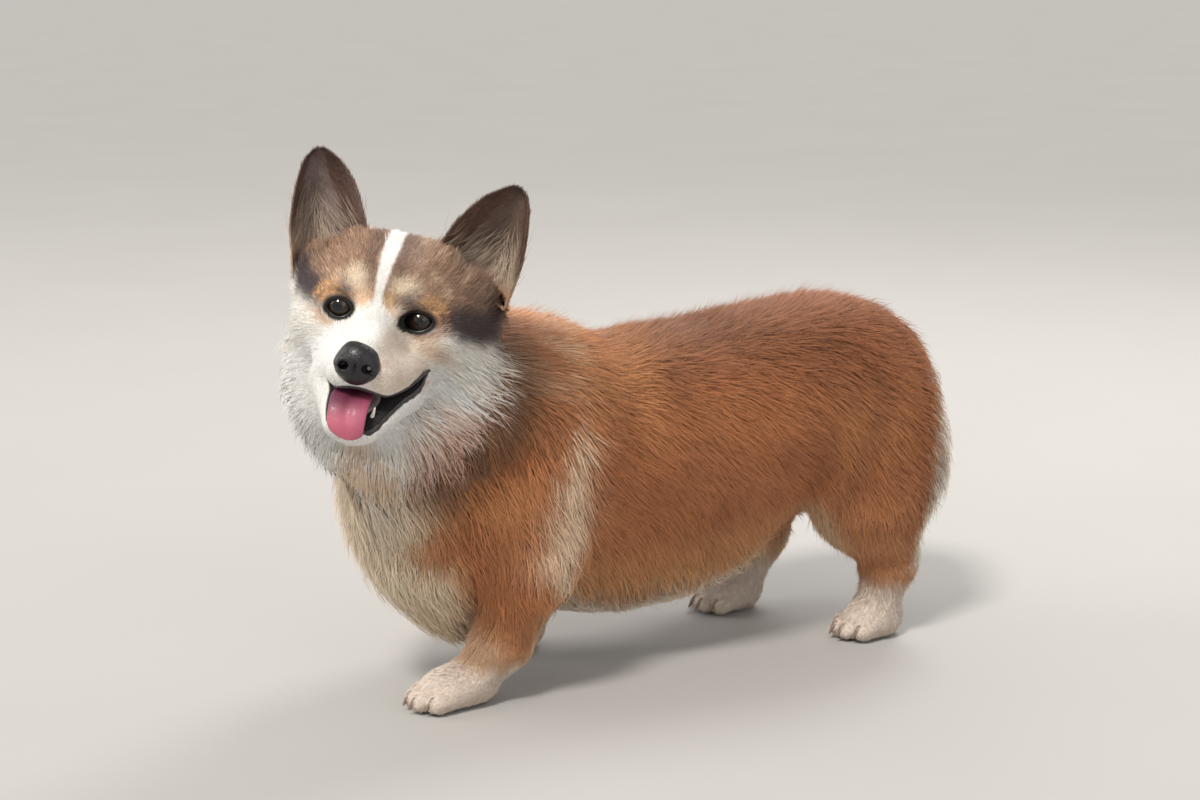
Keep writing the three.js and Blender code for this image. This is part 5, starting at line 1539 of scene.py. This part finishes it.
def nose_field(q):
    d = blob(q, NOSE_AT + np.array([0, 0.5, -0.5]), np.array([14.6, 11.2, 14.6]))
    d = smin(d, blob(q, NOSE_AT + np.array([0, 7.0, 3.0]), np.array([13.2, 13.0, 12.2])), 4)
    x, y, z = (q - NOSE_AT).T
    for s in (1, -1):
        d = smin(d, blob(q, NOSE_AT + np.array([9.6 * s, -1.5, -2.0]), np.array([6.0, 7.5, 7.0])), 3)
    # the lower half narrows to the groove under it
    d = smax(d, np.where(z < -3, (np.abs(x) - (13.5 + (z + 14.0) * 0.42)) * 0.88, -9), 4)
    for s in (1, -1):
        d = smax(d, -groove_between(q, NOSE_AT + np.array([6.0 * s, -13.2, -2.2]), NOSE_AT + np.array([9.0 * s, -5.0, -1.6]), 2.9), 1.6)
        d = smax(d, -groove_between(q, NOSE_AT + np.array([8.6 * s, -11.0, -3.6]), NOSE_AT + np.array([14.8 * s, -3.0, -5.4]), 1.2), 1.2)
    g = np.maximum(np.hypot(x, np.maximum(y + 11.0, 0) * 0.3) - 0.6, z - 0.5)
    return smax(d, -g, 1.8)


Vn, Fn = surface_nets(nose_field, NOSE_AT - 22, NOSE_AT + 24, 0.62)
Vn, Fn = biggest(Vn, Fn)
Vn = settle(nose_field, Vn, 2, 0.5)
nose = make_mesh("nose_pad", dog(Vn), Fn)
m, nt, bs = material("nose_leather")
co = add(nt, "ShaderNodeTexCoord")
vo = add(nt, "ShaderNodeTexVoronoi")
vo.inputs["Scale"].default_value = 1000
nz = add(nt, "ShaderNodeTexNoise")
nz.inputs["Scale"].default_value = 120
nt.links.new(co.outputs["Object"], vo.inputs["Vector"])
nt.links.new(co.outputs["Object"], nz.inputs["Vector"])
mx = add(nt, "ShaderNodeMix", data_type="RGBA")
mx.inputs[6].default_value = (0.005, 0.005, 0.006, 1)
mx.inputs[7].default_value = (0.014, 0.012, 0.014, 1)
nt.links.new(nz.outputs["Fac"], mx.inputs[0])
nt.links.new(mx.outputs[2], bs.inputs["Base Color"])
bs.inputs["Roughness"].default_value = 0.3
bs.inputs["Specular IOR Level"].default_value = 0.34
bs.inputs["Coat Weight"].default_value = 0.28
bs.inputs["Coat Roughness"].default_value = 0.25
bp = add(nt, "ShaderNodeBump")
bp.inputs["Strength"].default_value = 0.55
bp.inputs["Distance"].default_value = 0.0005
nt.links.new(vo.outputs["Distance"], bp.inputs["Height"])
nt.links.new(bp.outputs["Normal"], bs.inputs["Normal"])
nose.data.materials.append(m)
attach(nose, "root")
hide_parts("nose")

# ------------------------------------------------------------------ tongue and teeth
TONGUE = np.array([[0.4, -17.0, -37.5, 7, 2.2], [0.4, -23, -40, 8, 2.4], [-1, -31, -45, 11.5, 3], [-2.4, -41, -50.5, 13.2, 3.6], [-3, -49.5, -54.5, 13.6, 3.9],
                   [-2.8, -56, -60, 13.2, 3.9], [-2.2, -59.6, -67.7, 12.8, 3.8], [-0.8, -60.4, -73.6, 11.3, 3.4], [0.6, -60.0, -78.2, 7.4, 2.6]])
tt = np.linspace(0, 1, 60)
row = np.stack([curve(TONGUE[:, k], tt) for k in range(5)], 1)
end = np.sqrt(clamp(1 - ((tt - 0.86) / 0.14).clip(0, 1) ** 2.0))
row[:, 3] *= 0.25 + 0.75 * end
rings = []
for i in range(len(tt)):
    a, b = row[max(i - 1, 0)], row[min(i + 1, len(tt) - 1)]
    dr = unit(np.array([0, b[1] - a[1], b[2] - a[2]]))
    nr = np.array([0, -dr[2], dr[1]])
    ph = np.linspace(0, 2 * math.pi, 40, endpoint=False)
    c, sn = np.cos(ph), np.sin(ph)
    groove = 0.42 * np.exp(-((c / 0.22) ** 2)) * np.where(sn < 0, 1, 0.15)
    lift = 1.4 * np.abs(c) ** 2.2 * row[i, 4] / 4
    rings.append(row[i, :3] + np.array([1, 0, 0]) * (row[i, 3] * c)[:, None] + nr * (row[i, 4] * (0.85 - groove) * sn - lift)[:, None])
VV, Qs, Ts = solid_of_turn(rings, "tongue")
tongue = make_mesh("tongue_flesh", dog(VV), [Qs, Ts])
# painted shade: the tongue darker and greyer toward the mouth, under the upper lip, and on its left side
shade = lay(np.ones((len(VV), 3)), np.array([0.30, 0.24, 0.34]), ss(-66, -50, VV[:, 2] - 0.25 * VV[:, 0]))
set_colour(tongue, lay(shade, np.array([0.72, 0.62, 0.74]), 0.8 * ss(-2, 10, VV[:, 0])))
tm, nt, bs = material("tongue_flesh")
co = add(nt, "ShaderNodeTexCoord")
vo = add(nt, "ShaderNodeTexVoronoi")
vo.inputs["Scale"].default_value = 850
nz = add(nt, "ShaderNodeTexNoise")
nz.inputs["Scale"].default_value = 90
nt.links.new(co.outputs["Object"], vo.inputs["Vector"])
nt.links.new(co.outputs["Object"], nz.inputs["Vector"])
mx = add(nt, "ShaderNodeMix", data_type="RGBA")
mx.inputs[6].default_value = (*srgb(176, 82, 104), 1)
mx.inputs[7].default_value = (*srgb(196, 106, 128), 1)
nt.links.new(nz.outputs["Fac"], mx.inputs[0])
at = add(nt, "ShaderNodeAttribute", attribute_name="Col")
mu = add(nt, "ShaderNodeVectorMath", operation="MULTIPLY")
nt.links.new(mx.outputs[2], mu.inputs[0])
nt.links.new(at.outputs["Color"], mu.inputs[1])
nt.links.new(mu.outputs["Vector"], bs.inputs["Base Color"])
bs.inputs["Roughness"].default_value = 0.5
bs.inputs["Coat Weight"].default_value = 0.12
bs.inputs["Coat Roughness"].default_value = 0.2
bs.inputs["Subsurface Weight"].default_value = 0.15
bs.inputs["Subsurface Radius"].default_value = (0.004, 0.0015, 0.001)
bp = add(nt, "ShaderNodeBump")
bp.inputs["Strength"].default_value = 0.5
bp.inputs["Distance"].default_value = 0.0004
nt.links.new(vo.outputs["Distance"], bp.inputs["Height"])
nt.links.new(bp.outputs["Normal"], bs.inputs["Normal"])
tongue.data.materials.append(tm)
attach(tongue, "root")
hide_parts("tongue")

m, nt, bs = material("tooth_enamel")
co = add(nt, "ShaderNodeTexCoord")
nz = add(nt, "ShaderNodeTexNoise")
nz.inputs["Scale"].default_value = 400
nt.links.new(co.outputs["Object"], nz.inputs["Vector"])
mx = add(nt, "ShaderNodeMix", data_type="RGBA")
mx.inputs[6].default_value = (*srgb(236, 228, 208), 1)
mx.inputs[7].default_value = (*srgb(248, 244, 236), 1)
nt.links.new(nz.outputs["Fac"], mx.inputs[0])
nt.links.new(mx.outputs[2], bs.inputs["Base Color"])
bs.inputs["Roughness"].default_value = 0.22
TOOTH_MAT = m
parts_v, parts_q, parts_t, off = [], [], [], 0
for s in (1, -1):
    a = np.array([11.4, -44.6, -70.0] if s > 0 else [-15.4, -37.0, -67.0])
    b = np.array([13.9, -47.8, -55.8] if s > 0 else [-15.8, -39.8, -53.0])
    t = np.linspace(0, 1, 12)
    p = a + (b - a) * t[:, None] + np.array([0, 1, 0]) * (1.6 * t * (1 - t) * 4 * 0.5)[:, None]
    VV, Qs, Ts = tube(p, 2.1 * (1 - t) ** 0.75 + 0.3, 12)
    parts_v.append(VV); parts_q.append(Qs + off); parts_t.append(Ts + off); off += len(VV)
teeth = make_mesh("canine_teeth", dog(np.concatenate(parts_v)), [np.concatenate(parts_q), np.concatenate(parts_t)])
teeth.data.materials.append(TOOTH_MAT)
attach(teeth, "root")

# ------------------------------------------------------------------ claws
FEET = {"fore_left": (54, -192, 11), "fore_right": (-54, -89, 10.6), "hind_left": (60, 200, 10.6), "hind_right": (-62, 132, 10.6)}
CLAW_MAT = wet_material("claw_horn", srgb(128, 108, 96), 0.4, 0.25, 500, 0.2, 0.3)
parts_v, parts_q, parts_t, off = [], [], [], 0
names = []
for foot, (x, y, splay) in FEET.items():
    for i in range(4):
        s = i - 1.5
        front = y - (24 if abs(s) < 1 else 15) - 8.2
        cx = x + s * splay * 1.02
        a, b = np.array([cx, front + 5.4, 13.0]), np.array([cx, front - 2.6, 4.6])
        t = np.linspace(0, 1, 14)
        p = a + (b - a) * t[:, None]
        p[:, 2] += 1.4 * 4 * t * (1 - t)
        VV, Qs, Ts = tube(p, 2.2 * (1 - t ** 1.6) + 0.5, 12, 1.15)
        parts_v.append(VV); parts_q.append(Qs + off); parts_t.append(Ts + off); off += len(VV)
        names.append(f"claw_{foot}_{i + 1}")
claws = make_mesh("claws", np.concatenate(parts_v), [np.concatenate(parts_q), np.concatenate(parts_t)])
claws.data.materials.append(CLAW_MAT)
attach(claws, "root")
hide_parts(*names)

# ------------------------------------------------------------------ the skin stands for the flesh
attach(skin, "root")
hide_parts("head", "lower_jaw", "neck", "chest", "barrel", "hindquarters", "tail", "foreleg_left", "foreleg_right",
            "hindleg_left", "hindleg_right", "forepaw_left", "forepaw_right", "hindpaw_left", "hindpaw_right")

# ------------------------------------------------------------------ floor, light, camera
bpy.ops.mesh.primitive_circle_add(vertices=128, radius=90, fill_type="NGON", location=(0, 0, 0))
floor = bpy.context.object
floor.name = "floor"
m, nt, bs = material("floor_pale")
co = add(nt, "ShaderNodeTexCoord")
nz = add(nt, "ShaderNodeTexNoise")
nz.inputs["Scale"].default_value = 3
nt.links.new(co.outputs["Object"], nz.inputs["Vector"])
mx = add(nt, "ShaderNodeMix", data_type="RGBA")
mx.inputs[6].default_value = (0.43, 0.42, 0.405, 1)
mx.inputs[7].default_value = (0.46, 0.45, 0.435, 1)
nt.links.new(nz.outputs["Fac"], mx.inputs[0])
nt.links.new(mx.outputs[2], bs.inputs["Base Color"])
bs.inputs["Roughness"].default_value = 0.75
floor.data.materials.append(m)

world = bpy.data.worlds.new("studio")
bpy.context.scene.world = world
world.use_nodes = True
bg = world.node_tree.nodes["Background"]
bg.inputs["Color"].default_value = (1.0, 0.985, 0.96, 1)
bg.inputs["Strength"].default_value = 0.60


def area(name, az, el, dist_, size, power, colour=(1, 1, 1), aim=(0.0, 0.0, 0.2)):
    ld = bpy.data.lights.new(name, "AREA")
    ld.shape = "DISK"
    ld.size = size
    ld.energy = power
    ld.color = colour
    ob = bpy.data.objects.new(name, ld)
    a, e = math.radians(az), math.radians(el)
    back = Vector((math.sin(a) * math.cos(e), -math.cos(a) * math.cos(e), math.sin(e)))
    ob.location = Vector(aim) + back * dist_
    ob.rotation_mode = "QUATERNION"
    ob.rotation_quaternion = (-back).to_track_quat("-Z", "Y")
    bpy.context.scene.collection.objects.link(ob)


sun = bpy.data.lights.new("key", "SUN")
sun.energy = 2.4
sun.angle = math.radians(13)
sun.color = (1.0, 0.96, 0.90)
so = bpy.data.objects.new("key", sun)
_a, _e = math.radians(34), math.radians(54)
_back = Vector((math.sin(_a) * math.cos(_e), -math.cos(_a) * math.cos(_e), math.sin(_e)))
so.location = _back * 3
so.rotation_mode = "QUATERNION"
so.rotation_quaternion = (-_back).to_track_quat("-Z", "Y")
bpy.context.scene.collection.objects.link(so)
area("fill", 100, 24, 3.0, 2.0, 10, (0.97, 0.98, 1.0))
area("side", -38, 26, 3.0, 2.2, 26, (1.0, 0.98, 0.96))
area("rim", 210, 48, 2.4, 1.0, 26, (1.0, 0.98, 0.95))

CAM_DOG = np.array([1551.62, -852.95, 591.62])
cd = bpy.data.cameras.new("camera")
cam = bpy.data.objects.new("camera", cd)
bpy.context.scene.collection.objects.link(cam)
cd.sensor_width = 36
cd.lens = 36 * 2200 / 1200
cd.clip_start, cd.clip_end = 0.05, 60
az, el = math.radians(62), math.radians(12)
back = Vector((math.sin(az) * math.cos(el), -math.cos(az) * math.cos(el), math.sin(el)))
cam.location = Vector(metres(CAM_DOG)[0])
cam.rotation_mode = "QUATERNION"
cam.rotation_quaternion = (-back).to_track_quat("-Z", "Y")
bpy.context.scene.camera = cam
bpy.context.scene.view_settings.view_transform = "Standard"
bpy.context.scene.view_settings.look = "None"
